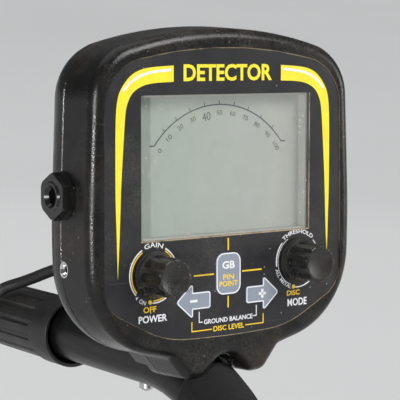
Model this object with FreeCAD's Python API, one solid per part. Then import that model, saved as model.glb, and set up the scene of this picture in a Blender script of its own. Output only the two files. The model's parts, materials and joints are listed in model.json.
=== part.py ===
"""Metal detector: control box on a bent upper rod, telescopic lower rod, tilting search coil and armrest.

Every piece is modelled in millimetres in the rod frame: X to the user's right, Y forward along the upper rod,
Z up, with the origin on the rod's axis at the control panel's face. The search coil is modelled flat about its
hinge. The last section tilts the rod frame so that the coil and the armrest's foot stand on the ground.
"""
import FreeCAD, Part
import math
import os

V = FreeCAD.Vector

# ---- rods -------------------------------------------------------------------------------------------------
ROD_R, ROD_WALL = 12.5, 1.2
MID_R, MID_WALL = 11.0, 1.3
LOW_R, LOW_WALL = 9.5, 1.6
FRONT_END = 150.0          # front end of the upper rod
BEND1_Y, BEND1_R = 52.0, 86.0
BEND_ANGLE = 60.0
GRIP_RUN = 58.0
BEND2_R = 70.0
REAR_END = -385.0
MID_START, MID_END = 50.0, 486.0
LOW_START, HINGE_Y = 330.0, 778.0
HOLE_PITCH, HOLES_BEHIND, HOLES_AHEAD = 32.0, 4, 2
BUTTON_R, BUTTON_OUT = 3.2, 3.7
UPPER_BUTTON_Y, LOWER_BUTTON_Y = 58.0, 350.0
SLIP = 0.06                # radial running clearance

# ---- control box ------------------------------------------------------------------------------------------
FACE_Y = -0.5              # front of the shell's rim; the printed panel's face is at Y = 0
SEAM_Y = 19.0
BACK_Y = 37.0
WALL = 2.5
FRONT_ROUND, BACK_ROUND = 4.6, 15.5
DRAFT = 1.2                # the front shell widens by this much from its rim to the seam
PANEL_T = 0.5
LCD_W, LCD_H, LCD_Z, LCD_DEPTH = 82.0, 55.4, 84.5, 6.0
KNOB_X, KNOB_Z, KNOB_R, SKIRT_R, KNOB_H = 35.3, 44.1, 7.6, 9.1, 14.6
KEY_Z, KEY_W, KEY_H = 41.6, 12.0, 16.6
ARROW_Z, ARROW_IN, ARROW_NECK, ARROW_TIP = 32.1, 8.8, 17.2, 25.4
ARROW_BODY, ARROW_HEAD = 3.4, 7.2
PHONE_Z, SMALL_Z = 74.2, 46.3
PLUG_Z = 33.0
SPEAKER_R, SPEAKER_Z = 10.5, 117.5
DOOR_W, DOOR_H, DOOR_Z = 62.0, 54.0, 79.0

# Right half of the box's outline as (x, z, corner radius), from the crown down to the notch over the rod.
BOX_HALF = [(61.4, 127.0, 21.9), (64.1, 62.0, 380.0), (62.8, 19.4, 36.0), (26.6, 10.35, 4.6),
            (18.8, 0.7, 5.6), (12.0, 0.5, 4.2)]
BOX_CROWN, BOX_NOTCH = (0.0, 143.9, 172.0), (0.0, 11.5, 7.0)
PANEL_HALF = [(57.3, 122.7, 20.0), (57.7, 70.0, 600.0), (57.8, 32.3, 13.0), (30.0, 17.6, 45.0)]
PANEL_CROWN, PANEL_FOOT = (0.0, 134.8, 200.0), (0.0, 16.6, 400.0)

# ---- coil -------------------------------------------------------------------------------------------------
COIL_A, COIL_B, COIL_RIM = 116.0, 139.0, 27.0
COIL_SPINE, COIL_WEB = 30.0, 11.0
COIL_TOP, COIL_JOIN, COIL_SKID = 21.0, 8.0, 1.6
HINGE_H = 46.0             # height of the coil's hinge above the ground
BOLT_R = 4.0
TONGUE_HALF, WASHER_T, EAR_T, EAR_R = 9.0, 2.0, 6.0, 11.0

# ---- armrest and cable ------------------------------------------------------------------------------------
ARM_Y, ARM_LEN, ARM_R, ARM_WALL = -322.0, 112.0, 47.0, 3.0
FOOT_DROP = 66.0           # from the rear rod's axis down to the foot's sole
CABLE_R = 2.75


# ---- helpers ----------------------------------------------------------------------------------------------
def cylinder(radius, start, end):
    """A round bar from one point to another."""
    axis = end - start
    return Part.makeCylinder(radius, axis.Length, start, axis)


def cone(r1, r2, start, end):
    """A tapered round bar."""
    axis = end - start
    return Part.makeCone(r1, r2, axis.Length, start, axis)


def along_y(radius, y0, y1, x=0.0, z=0.0):
    """A round bar along Y."""
    return cylinder(radius, V(x, y0, z), V(x, y1, z))


def pipe_y(outer, inner, y0, y1, x=0.0, z=0.0):
    """A tube along Y."""
    return along_y(outer, y0, y1, x, z).cut(along_y(inner, y0 - 1, y1 + 1, x, z))


def box(x0, x1, y0, y1, z0, z1):
    """A block between two corners."""
    return Part.makeBox(x1 - x0, y1 - y0, z1 - z0, V(x0, y0, z0))


def joined(shapes):
    """One solid from several overlapping ones."""
    first, rest = shapes[0], shapes[1:]
    return first.fuse(rest).removeSplitter() if rest else first


def rounded_wire(corners, place):
    """A closed wire through 2D corners (u, v, radius); place turns (u, v) into a point."""
    edges, last, first = [], None, None
    count = len(corners)
    for i, (u, v, radius) in enumerate(corners):
        here = V(u, v, 0)
        before = V(corners[i - 1][0], corners[i - 1][1], 0) - here
        after = V(corners[(i + 1) % count][0], corners[(i + 1) % count][1], 0) - here
        before.normalize()
        after.normalize()
        half = before.getAngle(after) / 2
        start = end = here
        middle = None
        if radius > 0:
            start = here + before * (radius / math.tan(half))
            end = here + after * (radius / math.tan(half))
            inward = before + after
            inward.normalize()
            middle = here + inward * (radius / math.sin(half) - radius)
        start3, end3 = place(start.x, start.y), place(end.x, end.y)
        if last is not None and (start3 - last).Length > 1e-6:
            edges.append(Part.makeLine(last, start3))
        if middle is not None:
            edges.append(Part.Arc(start3, place(middle.x, middle.y), end3).toShape())
        first = first or start3
        last = end3
    if (first - last).Length > 1e-6:
        edges.append(Part.makeLine(last, first))
    return Part.Wire(edges)


def mirrored(half, crown, foot):
    """A symmetric outline from its right half, its top corner and its bottom corner."""
    left = [(-x, z, r) for x, z, r in reversed(half)]
    return [crown] + half + [foot] + left


def prism_y(corners, y0, y1):
    """A block with a rounded outline in X and Z, from y0 to y1."""
    face = Part.Face(rounded_wire(corners, lambda u, v: V(u, y0, v)))
    return face.extrude(V(0, y1 - y0, 0))


def rectangle(cx, cz, width, height, radius):
    """Corners of a rounded rectangle."""
    w, h = width / 2, height / 2
    signs = ((-1, -1), (1, -1), (1, 1), (-1, 1))
    return [(cx + i * w, cz + j * h, radius) for i, j in signs]


def inset(corners, by, y):
    """The outline's face at y, moved inward by a distance."""
    wire = rounded_wire(corners, lambda u, v: V(u, y, v))
    return Part.Face(wire.makeOffset2D(-by, 0, False, False, False))


def outline_wire(corners, grow, y):
    """The outline at y, moved outward by a distance, round its arcs as well."""
    wire = rounded_wire(corners, lambda u, v: V(u, y, v))
    return wire.makeOffset2D(grow, 0, False, False, False)


def hexagon_prism(across, start, end):
    """A hexagonal bar from one point to another, with corners up and down."""
    axis = end - start
    turn = FreeCAD.Rotation(V(0, 0, 1), axis)
    r = across / math.sqrt(3)
    corners = [math.radians(60 * k) for k in range(6)]
    ring = [start + turn.multVec(V(r * math.cos(a), r * math.sin(a), 0)) for a in corners]
    return Part.Face(Part.makePolygon(ring + [ring[0]])).extrude(axis)


def rounded_path(points, share=0.45):
    """Straight runs joined by tangent arcs, as large as the runs allow. Returns the wire and the radii."""
    edges, radii, last = [], [], points[0]
    for before, here, after in zip(points, points[1:], points[2:]):
        back, on = before - here, after - here
        run = share * min(back.Length, on.Length)
        back.normalize()
        on.normalize()
        half = back.getAngle(on) / 2
        start, end = here + back * run, here + on * run
        radius = run * math.tan(half)
        inward = back + on
        inward.normalize()
        middle = here + inward * (radius / math.sin(half) - radius)
        edges += [Part.makeLine(last, start), Part.Arc(start, middle, end).toShape()]
        radii.append(radius)
        last = end
    edges.append(Part.makeLine(last, points[-1]))
    return Part.Wire(edges), radii


def tube_along(wire, radius):
    """A solid round section swept along a tangent-continuous wire."""
    start = wire.Edges[0]
    direction = start.tangentAt(start.FirstParameter)
    circle = Part.Wire(Part.makeCircle(radius, start.valueAt(start.FirstParameter), direction))
    return wire.makePipeShell([circle], True, False)


# ---- upper rod, its path and the grip ---------------------------------------------------------------------
def rod_point(y, z):
    return V(0, y, z)


BEND = math.radians(BEND_ANGLE)
BEND1_END = (BEND1_Y - BEND1_R * math.sin(BEND), -BEND1_R * (1 - math.cos(BEND)))
GRIP_END = (BEND1_END[0] - GRIP_RUN * math.cos(BEND), BEND1_END[1] - GRIP_RUN * math.sin(BEND))
BEND2_C = (GRIP_END[0] - BEND2_R * math.sin(BEND), GRIP_END[1] + BEND2_R * math.cos(BEND))
REAR_Z = BEND2_C[1] - BEND2_R


def bend1(angle, radius=BEND1_R):
    """A point on the first bend, at an angle from its start."""
    return rod_point(BEND1_Y - radius * math.sin(angle), -BEND1_R + radius * math.cos(angle))


def bend2(angle, radius=BEND2_R):
    """A point on the second bend, at an angle back from its end."""
    return rod_point(BEND2_C[0] + radius * math.sin(angle), BEND2_C[1] - radius * math.cos(angle))


def rod_path(front, rear):
    """The rod's centre line from Y = front to Y = rear, past both bends."""
    return Part.Wire([
        Part.makeLine(rod_point(front, 0), bend1(0)),
        Part.Arc(bend1(0), bend1(BEND / 2), bend1(BEND)).toShape(),
        Part.makeLine(bend1(BEND), bend2(BEND)),
        Part.Arc(bend2(BEND), bend2(BEND / 2), bend2(0)).toShape(),
        Part.makeLine(bend2(0), rod_point(rear, REAR_Z))])


def grip_path(start_angle, end_angle):
    """The part of the centre line that the grip covers."""
    return Part.Wire([
        Part.Arc(bend1(start_angle), bend1((start_angle + BEND) / 2), bend1(BEND)).toShape(),
        Part.makeLine(bend1(BEND), bend2(BEND)),
        Part.Arc(bend2(BEND), bend2((BEND + end_angle) / 2), bend2(end_angle)).toShape()])


GRIP_FROM, GRIP_TO, GRIP_R = math.radians(24.5), math.radians(30), 14.6


def upper_rod():
    """Bent tube, with the spring button's hole underneath."""
    solid = tube_along(rod_path(FRONT_END, REAR_END), ROD_R)
    bore = tube_along(rod_path(FRONT_END + 1, REAR_END - 1), ROD_R - ROD_WALL)
    hole = cylinder(BUTTON_R + 0.2, V(0, UPPER_BUTTON_Y, -ROD_R - 2), V(0, UPPER_BUTTON_Y, -5))
    rod = solid.cut(bore).cut(hole)
    for y, _ in SADDLE_SCREWS:
        rod = rod.cut(cylinder(1.3, V(0, y, 5), V(0, y, 20)))
    return rod


def foam_grip():
    """Foam sleeve over the bend and the straight below it, with a rounded lip at each end."""
    sleeve = tube_along(grip_path(GRIP_FROM, GRIP_TO), GRIP_R)
    core = tube_along(grip_path(GRIP_FROM - 0.03, GRIP_TO - 0.03), ROD_R)
    return sleeve.cut(core)


def rear_plug():
    """Plastic plug in the rear end of the upper rod."""
    head = cone(ROD_R, ROD_R - 1.5, rod_point(REAR_END, REAR_Z), rod_point(REAR_END - 4, REAR_Z))
    stem = cylinder(ROD_R - ROD_WALL, rod_point(REAR_END, REAR_Z), rod_point(REAR_END + 14, REAR_Z))
    return joined([head, stem])


def rod_clearance():
    """The space of the rod and its grip in the box's underside."""
    path = Part.Wire([Part.makeLine(rod_point(SADDLE_END + 4, 0), bend1(0)),
                      Part.Arc(bend1(0), bend1(BEND / 2), bend1(BEND)).toShape()])
    start = GRIP_FROM - 0.03
    grip = Part.Wire(Part.Arc(bend1(start), bend1((start + BEND) / 2), bend1(BEND)).toShape())
    return tube_along(path, ROD_R + 0.15).fuse(tube_along(grip, GRIP_R + 0.6))


# ---- control box shells -----------------------------------------------------------------------------------
BOX = mirrored(BOX_HALF, BOX_CROWN, BOX_NOTCH)
BOX_NO_CHIN = mirrored(BOX_HALF[:3] + [BOX_HALF[3][:2] + (6.0,)], BOX_CROWN, (0.0, 9.9, 60.0))
PANEL = mirrored(PANEL_HALF, PANEL_CROWN, PANEL_FOOT)
SCREWS = [(-50, 116), (50, 116), (-56.5, 92), (56.5, 92), (-49, 31.5), (49, 31.5)]
SADDLE_END, SADDLE_TOP = 66.0, 16.5
SADDLE_SCREWS = [(46.0, SADDLE_TOP), (60.0, SADDLE_TOP)]
SEAM_LIP = 0.45


def end_edges(shape, y):
    """Edges that lie wholly at one Y."""
    return [e for e in shape.Edges if abs(e.BoundBox.YMin - y) < 1e-4 and abs(e.BoundBox.YMax - y) < 1e-4]


def hollow_outline(by, y0, y1):
    """The box's outline inset by a distance, without the chin's lobes, from y0 to y1."""
    keep = box(-70, 70, y0, y1, 14.5, 150)
    return inset(BOX, by, y0).extrude(V(0, y1 - y0, 0)).common(keep)


def arrow_corners(side, grow=0.0):
    """Outline of an arrow key that points to one side, or of its opening if grown."""
    g, z = grow, ARROW_Z
    points = [(ARROW_IN - g, z + ARROW_BODY + g, 1.0), (ARROW_NECK - g, z + ARROW_BODY + g, 0.4),
              (ARROW_NECK - g, z + ARROW_HEAD + 1.5 * g, 0.7), (ARROW_TIP + 1.3 * g, z, 1.2),
              (ARROW_NECK - g, z - ARROW_HEAD - 1.5 * g, 0.7), (ARROW_NECK - g, z - ARROW_BODY - g, 0.4),
              (ARROW_IN - g, z - ARROW_BODY - g, 1.0)]
    return [(side * x, zz, r) for x, zz, r in points]


def key_shapes(grow=0.0):
    """Outlines of the three keys, by name."""
    return {"pinpoint": rectangle(0, KEY_Z, KEY_W + 2 * grow, KEY_H + 2 * grow, 3.6),
            "minus": arrow_corners(-1, grow), "plus": arrow_corners(1, grow)}


def front_shell():
    """Front cover with the panel's recess, the window, knob and key openings and screw posts."""
    rim = rounded_wire(BOX, lambda u, v: V(u, FACE_Y, v))
    body = Part.makeLoft([rim, outline_wire(BOX, DRAFT, SEAM_Y)], True, True)
    body = body.makeFillet(FRONT_ROUND, end_edges(body, FACE_Y))
    body = body.makeChamfer(SEAM_LIP, end_edges(body, SEAM_Y))
    cavity = hollow_outline(WALL, 2.8, SEAM_Y + 1)
    posts = [along_y(3.6, 2.0, SEAM_Y - 0.6, x, z) for x, z in SCREWS]
    shell = body.cut(cavity)
    shell = joined([shell] + [p.common(body) for p in posts])
    shell = shell.cut(prism_y(PANEL, FACE_Y - 1, PANEL_T))
    shell = shell.cut(prism_y(rectangle(0, LCD_Z, LCD_W, LCD_H, 0.6), -2, 4))
    for x in (-KNOB_X, KNOB_X):
        shell = shell.cut(along_y(3.6, -2, 6, x, KNOB_Z))
    for corners in key_shapes(0.2).values():
        shell = shell.cut(prism_y(corners, -2, 4))
    for x, z in SCREWS:
        shell = shell.cut(along_y(1.25, 8, SEAM_Y + 1, x, z))
    shell = shell.cut(socket_holes())
    return shell.cut(rod_clearance())


def rear_shell():
    """Rear cover with the battery compartment, the plug's boss, screw posts and the saddle on the rod."""
    crown = Part.Face(outline_wire(BOX_NO_CHIN, DRAFT, SEAM_Y)).extrude(V(0, BACK_Y - SEAM_Y, 0))
    crown = crown.makeFillet(BACK_ROUND, end_edges(crown, BACK_Y))
    crown = crown.makeChamfer(SEAM_LIP, end_edges(crown, SEAM_Y))
    cavity = inset(BOX_NO_CHIN, WALL, SEAM_Y - 1).extrude(V(0, BACK_Y - WALL - SEAM_Y + 1, 0))
    cavity = cavity.common(box(-70, 70, 0, 80, 17.0, 150))
    cavity = cavity.makeFillet(BACK_ROUND - WALL - 1.5,
                               [e for e in end_edges(cavity, BACK_Y - WALL) if e.BoundBox.ZMin > 18])
    cheeks = Part.Face(outline_wire(BOX, DRAFT, SEAM_Y)).extrude(V(0, 13, 0))
    cheeks = cheeks.common(box(-30, 30, SEAM_Y, SEAM_Y + 13, -5, 13.9))
    posts = [along_y(4.0, SEAM_Y, BACK_Y - 4, x, z).common(crown) for x, z in SCREWS]
    boss = along_y(11.0, BACK_Y - 8, BACK_Y + 1.5, 0, PLUG_Z).cut(cavity)
    saddle = box(-13, 13, SEAM_Y + 2, SADDLE_END, 2, 18).cut(box(-20, 20, BACK_Y - 2, 90, SADDLE_TOP, 30))
    shell = crown.cut(cavity).cut(battery_space())
    for extra in posts + [boss, saddle, cheeks, battery_walls()]:
        shell = shell.fuse(extra)
    drills = [along_y(7.4, BACK_Y - 12, BACK_Y + 3, 0, PLUG_Z),
              box(-40, 40, SEAM_Y + 5, BACK_Y + 30, -9, 3.5)]
    for x, z in SCREWS:
        drills.append(along_y(1.7, SEAM_Y - 1, BACK_Y + 1, x, z))
        drills.append(along_y(3.2, SEAM_Y + 9, BACK_Y + 1, x, z))
    for k in range(-3, 4):
        drills.append(prism_y(rectangle(3.0 * k, SPEAKER_Z, 1.6, 12 - abs(k), 0.79), BACK_Y - 6, BACK_Y + 1))
    for y, _ in SADDLE_SCREWS:
        drills.append(cylinder(1.5, V(0, y, 5), V(0, y, 30)))
    for tool in drills + [rod_clearance(), socket_holes()]:
        shell = shell.cut(tool)
    return joined([shell] + door_rails())


def battery_space():
    """The opening that the batteries go through."""
    return prism_y(rectangle(0, DOOR_Z, DOOR_W - 7, DOOR_H - 4, 1), SEAM_Y - 1, BACK_Y + 1)


def battery_walls():
    """Walls and floor of the battery compartment, with a notch for the wires in each side wall."""
    outer = box(-29.5, 29.5, 17.3, BACK_Y - WALL + 0.5, DOOR_Z - 27, DOOR_Z + 27)
    outer = outer.cut(box(-27.5, 27.5, 18.7, 60, DOOR_Z - 25, DOOR_Z + 25))
    return outer.cut(box(-30, 30, 18.7, 22.5, PHONE_Z - 3, PHONE_Z + 3))


def door_rails():
    """Two rails that hold the battery door while it slides up."""
    w, rails = DOOR_W / 2 + 0.15, []
    for side in (-1, 1):
        rail = box(w, w + 2.4, BACK_Y - 0.5, BACK_Y + 3.6, DOOR_Z - DOOR_H / 2, DOOR_Z + DOOR_H / 2)
        lip = box(w - 1.6, w + 2.4, BACK_Y + 2.5, BACK_Y + 3.6, DOOR_Z - DOOR_H / 2, DOOR_Z + DOOR_H / 2)
        rail = rail.fuse(lip).removeSplitter()
        rails.append(rail if side > 0 else rail.mirror(V(0, 0, 0), V(1, 0, 0)))
    stop = box(-w, w, BACK_Y - 0.5, BACK_Y + 2.2, DOOR_Z - DOOR_H / 2 - 2.2, DOOR_Z - DOOR_H / 2 - 0.2)
    return rails + [stop]


NUT_SEAT_X = -64.18         # flat seat for the large socket's nut


def socket_holes():
    """Holes in the left wall, on the seam, for the two headphone sockets, and the nut's seat."""
    phone = cylinder(6.05, V(-75, SEAM_Y, PHONE_Z), V(-58, SEAM_Y, PHONE_Z))
    seat = cylinder(9.75, V(-75, SEAM_Y, PHONE_Z), V(NUT_SEAT_X, SEAM_Y, PHONE_Z))
    small = cylinder(3.25, V(-75, SEAM_Y - 1.2, SMALL_Z), V(-58, SEAM_Y - 1.2, SMALL_Z))
    return joined([phone, seat]).fuse(small)


def head_screws():
    """Six screws that hold the shells together and two that hold the saddle to the rod."""
    group = []
    for x, z in SCREWS:
        screw = joined([along_y(1.2, 9, SEAM_Y + 9.5, x, z), along_y(2.9, SEAM_Y + 9, SEAM_Y + 11, x, z)])
        group.append(screw.cut(box(x - 2, x + 2, SEAM_Y + 10.2, SEAM_Y + 12, z - 0.4, z + 0.4)))
    for y, top in SADDLE_SCREWS:
        group.append(joined([cylinder(1.2, V(0, y, ROD_R - 1.0), V(0, y, top + 0.2)),
                             cylinder(2.9, V(0, y, top + 0.02), V(0, y, top + 2.0))]))
    return Part.makeCompound(group)


# ---- what shows on the panel ------------------------------------------------------------------------------
def printed_panel():
    """Thin printed label in the shell's recess, open over the window, knobs and keys."""
    label = inset(PANEL, 0.15, 0.0).extrude(V(0, PANEL_T, 0))
    label = label.cut(prism_y(rectangle(0, LCD_Z, LCD_W, LCD_H, 0.6), -1, 2))
    for x in (-KNOB_X, KNOB_X):
        label = label.cut(along_y(5.95, -1, 2, x, KNOB_Z))
    for corners in key_shapes(0.2).values():
        label = label.cut(prism_y(corners, -1, 2))
    return label


def display_window():
    """Clear acrylic window in the shell's opening."""
    return prism_y(rectangle(0, LCD_Z, LCD_W - 0.1, LCD_H - 0.1, 0.6), 0.1, 1.6)


def display_frame():
    """Pale plastic frame between the window and the display's glass."""
    outer = prism_y(rectangle(0, LCD_Z, LCD_W + 3, LCD_H + 3, 1.2), 2.85, LCD_DEPTH)
    lip = prism_y(rectangle(0, LCD_Z, LCD_W - 0.1, LCD_H - 0.1, 0.6), 1.65, 3.0)
    opening = prism_y(rectangle(0, LCD_Z, LCD_W - 1.6, LCD_H - 1.6, 0.4), 0, 8)
    return joined([outer, lip]).cut(opening)


def display_glass():
    """Liquid crystal cell."""
    return box(-43, 43, LCD_DEPTH, LCD_DEPTH + 2.2, LCD_Z - 29.5, LCD_Z + 29.5)


BOARD_Y = 14.2


def main_board():
    """Circuit board that carries the display, switches and sockets."""
    side = [(52, 116, 9), (54, 60, 100), (50, 34, 7), (34, 24, 6)]
    board = prism_y(mirrored(side, (0, 118, 120), (0, 23, 40)), BOARD_Y, BOARD_Y + 1.6)
    for x, z in SCREWS:
        board = board.cut(along_y(4.6, 0, 40, x, z))
    return board.cut(box(-70, -45.6, 0, 40, SMALL_Z - 4.4, SMALL_Z + 4.4))


def board_parts():
    """Chips and capacitors on the board's back, and the keys' switches on its front."""
    y = BOARD_Y + 1.6
    chips = [box(-44, -31, y, y + 1.4, 84, 97), box(-44, -34, y, y + 1.4, 100, 106),
             box(34, 45, y, y + 1.4, 80, 94), box(-8, 10, y, y + 2.2, 108, 114),
             box(33, 41, y, y + 1.4, 99, 105)]
    cans = [along_y(3.1, y, y + 8.0, x, z) for x, z in ((-42, 59), (42, 70), (-36, 51), (38, 50), (26, 34))]
    return Part.makeCompound(chips + cans + key_switches())


def controls():
    """Bodies of the two rotary controls, each with its threaded bush and its row of contacts."""
    group = []
    for x in (-KNOB_X, KNOB_X):
        body = joined([along_y(8.2, 3.4, 12.0, x, KNOB_Z), along_y(3.5, -0.8, 3.6, x, KNOB_Z),
                       box(x - 5, x + 5, 4.5, 11.5, KNOB_Z - 12, KNOB_Z)])
        group.append(body.cut(along_y(3.0 + SLIP, -2, 11.0, x, KNOB_Z)))
    return Part.makeCompound(group)


def pot_nuts():
    """Flat hexagon nuts that hold both rotary controls to the front wall."""
    group = []
    for x in (-KNOB_X, KNOB_X):
        nut = hexagon_prism(10.0, V(x, 0.48, KNOB_Z), V(x, -0.6, KNOB_Z))
        group.append(nut.cut(along_y(3.55, -3, 3, x, KNOB_Z)))
    return Part.makeCompound(group)


DISH_R, DISH_DEPTH = 26.0, 0.74


def knob(side):
    """Fluted knob on a skirt, with a shallow dished cap."""
    x, front, back = side * KNOB_X, -KNOB_H, -0.9
    skirt = cone(SKIRT_R, SKIRT_R - 0.7, V(x, back, KNOB_Z), V(x, back - 1.7, KNOB_Z))
    body = cone(KNOB_R + 0.35, KNOB_R, V(x, back - 1.5, KNOB_Z), V(x, front, KNOB_Z))
    body = body.makeFillet(1.0, end_edges(body, front))
    whole = joined([skirt, body])
    for k in range(9):
        a = math.radians(40 * k + 20)
        r = KNOB_R + 1.5
        start = V(x + r * math.cos(a), back - 2.2, KNOB_Z + r * math.sin(a))
        whole = whole.cut(cylinder(2.5, start, start + V(0, -20, 0)))
    whole = whole.cut(Part.makeSphere(DISH_R, V(x, front - DISH_R + DISH_DEPTH, KNOB_Z)))
    whole = whole.cut(along_y(5.9, -2.0, 0, x, KNOB_Z))
    return whole.cut(along_y(3.0 + 0.02, front + 3.5, 1, x, KNOB_Z))


def control_shaft(side):
    """Metal shaft that the knob is pressed on."""
    x = side * KNOB_X
    return along_y(3.0, -KNOB_H + 3.6, 10.5, x, KNOB_Z)


KEY_PROUD, KEY_STEM = 0.3, 11.5


def key(name):
    """Key pad with the stem that reaches its switch."""
    pads = key_shapes()
    x = {"pinpoint": 0.0, "minus": -16.0, "plus": 16.0}[name]
    z = KEY_Z if name == "pinpoint" else ARROW_Z
    pad = prism_y(pads[name], -KEY_PROUD, 1.6)
    return joined([pad, along_y(2.0, 1.5, KEY_STEM, x, z)])


def key_switches():
    """Three tactile switches on the board, one behind each key."""
    group = []
    for x, z in ((0, KEY_Z), (-16, ARROW_Z), (16, ARROW_Z)):
        group.append(joined([box(x - 3, x + 3, 12.7, BOARD_Y, z - 3, z + 3), along_y(1.7, 12.0, 13, x, z)]))
    return group


# ---- sockets ----------------------------------------------------------------------------------------------
PHONE_BORE, SMALL_BORE = 3.25, 1.8


def phone_socket():
    """Large headphone socket: body inside the wall and a threaded nozzle through it."""
    nozzle = cylinder(5.95, V(-57, SEAM_Y, PHONE_Z), V(-69.6, SEAM_Y, PHONE_Z))
    nozzle = nozzle.makeChamfer(0.7, [e for e in nozzle.Edges if e.BoundBox.XMax < -69.5])
    body = box(-58.5, -33, SEAM_Y - 1.9, SEAM_Y + 11, PHONE_Z - 8, PHONE_Z + 8)
    socket = joined([nozzle, body])
    socket = socket.cut(cylinder(PHONE_BORE, V(-80, SEAM_Y, PHONE_Z), V(-36, SEAM_Y, PHONE_Z)))
    return socket.cut(cone(4.5, PHONE_BORE, V(-69.7, SEAM_Y, PHONE_Z), V(-68.2, SEAM_Y, PHONE_Z)))


def phone_nut():
    """Chunky plastic hexagon nut with a thin round flange."""
    flange = cylinder(9.6, V(NUT_SEAT_X - 0.02, SEAM_Y, PHONE_Z), V(-65.1, SEAM_Y, PHONE_Z))
    nut = hexagon_prism(16.0, V(-65.05, SEAM_Y, PHONE_Z), V(-68.9, SEAM_Y, PHONE_Z))
    bevel = cone(10.6, 8.4, V(-66.2, SEAM_Y, PHONE_Z), V(-69.2, SEAM_Y, PHONE_Z))
    nut = nut.common(joined([cylinder(10.6, V(-65, SEAM_Y, PHONE_Z), V(-66.3, SEAM_Y, PHONE_Z)), bevel]))
    return joined([nut, flange]).cut(cylinder(5.97, V(-60, SEAM_Y, PHONE_Z), V(-72, SEAM_Y, PHONE_Z)))


def small_socket():
    """Small headphone socket with a bright metal sleeve."""
    y, z = SEAM_Y - 1.2, SMALL_Z
    sleeve = cylinder(3.15, V(-58, y, z), V(-64.6, y, z))
    body = box(-59, -46, y - 2.9, y + 6, z - 4, z + 4)
    socket = joined([sleeve, body]).cut(cylinder(SMALL_BORE, V(-70, y, z), V(-48, y, z)))
    return socket.cut(cone(2.75, SMALL_BORE, V(-64.7, y, z), V(-62.9, y, z)))


def coil_socket():
    """Panel connector for the coil's lead, on the box's back."""
    flange = along_y(9.6, BACK_Y + 1.55, BACK_Y + 2.9, 0, PLUG_Z)
    barrel = along_y(7.3, BACK_Y - 10, BACK_Y + 10.6, 0, PLUG_Z)
    return joined([flange, barrel]).cut(along_y(5.6, BACK_Y + 3, BACK_Y + 12, 0, PLUG_Z))


def coil_plug():
    """Plug body and its tapered boot."""
    core = along_y(5.5, BACK_Y + 3.3, BACK_Y + 16, 0, PLUG_Z)
    shell = along_y(6.6, BACK_Y + 15.5, BACK_Y + 31, 0, PLUG_Z)
    boot = cone(5.2, 3.3, V(0, BACK_Y + 31, PLUG_Z), V(0, BOOT_END, PLUG_Z))
    plug = joined([core, shell, boot]).cut(along_y(CABLE_R + 0.05, BOOT_END - 14.2, BOOT_END + 1, 0, PLUG_Z))
    for k in range(4):
        y = BACK_Y + 34 + 4.2 * k
        plug = plug.cut(pipe_y(9, 3.6 - 0.12 * k, y, y + 1.4, 0, PLUG_Z))
    return plug


BOOT_END = BACK_Y + 53.0


def plug_ring():
    """Knurled coupling ring that screws the plug to its socket."""
    ring = pipe_y(9.2, 7.3 + SLIP, BACK_Y + 3.2, BACK_Y + 11.0, 0, PLUG_Z)
    back = pipe_y(9.2, 6.6 + SLIP, BACK_Y + 11.3, BACK_Y + 19, 0, PLUG_Z)
    web = pipe_y(9.2, 6.7, BACK_Y + 10.9, BACK_Y + 11.4, 0, PLUG_Z)
    ring = joined([ring, web, back])
    for k in range(16):
        a = math.tau * k / 16
        start = V(9.6 * math.cos(a), BACK_Y + 5, PLUG_Z + 9.6 * math.sin(a))
        ring = ring.cut(cylinder(0.9, start, start + V(0, 12, 0)))
    return ring


# ---- battery, speaker -------------------------------------------------------------------------------------
def batteries():
    """Two block batteries side by side, each with its pair of snap terminals."""
    group = []
    for x in (-14.0, 14.0):
        cell = box(x - 13.2, x + 13.2, 19.5, 36.9, DOOR_Z - 23.5, DOOR_Z + 21.5)
        snaps = [cylinder(r, V(x + dx, 28.3, DOOR_Z + 21), V(x + dx, 28.3, DOOR_Z + 23.4))
                 for dx, r in ((-6.3, 2.8), (6.3, 3.8))]
        group.append(joined([cell] + snaps))
    return Part.makeCompound(group)


def battery_door():
    """Door that slides up out of its rails, with a ribbed thumb patch."""
    door = prism_y(rectangle(0, DOOR_Z, DOOR_W, DOOR_H, 1.5), BACK_Y + 0.1, BACK_Y + 2.4)
    ribs = []
    for k in range(6):
        low = DOOR_Z - 20 + 2.4 * k
        ribs.append(box(-9, 9, BACK_Y + 2.3, BACK_Y + 3.2, low, low + 1.1))
    return joined([door] + ribs)


def speaker():
    """Small round speaker behind the slots in the rear cover."""
    return joined([along_y(SPEAKER_R, BACK_Y - 5.6, BACK_Y - 3, 0, SPEAKER_Z),
                   along_y(6.5, BACK_Y - 9.5, BACK_Y - 5.5, 0, SPEAKER_Z)])


# ---- rod joints -------------------------------------------------------------------------------------------
def middle_rod():
    """Straight tube with the button's hole at its rear end and the row of length holes."""
    rod = pipe_y(MID_R, MID_R - MID_WALL, MID_START, MID_END)
    steps = range(-HOLES_BEHIND, HOLES_AHEAD + 1)
    spots = [UPPER_BUTTON_Y] + [LOWER_BUTTON_Y + HOLE_PITCH * k for k in steps]
    for y in spots:
        rod = rod.cut(cylinder(BUTTON_R + 0.12, V(0, y, -MID_R - 2), V(0, y, -4)))
    return rod


def lower_rod():
    """Straight composite tube with the button's hole near its rear end."""
    rod = pipe_y(LOW_R, LOW_R - LOW_WALL, LOW_START, HINGE_Y - 26)
    return rod.cut(cylinder(BUTTON_R + 0.1, V(0, LOWER_BUTTON_Y, -LOW_R - 2), V(0, LOWER_BUTTON_Y, -3)))


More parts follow.
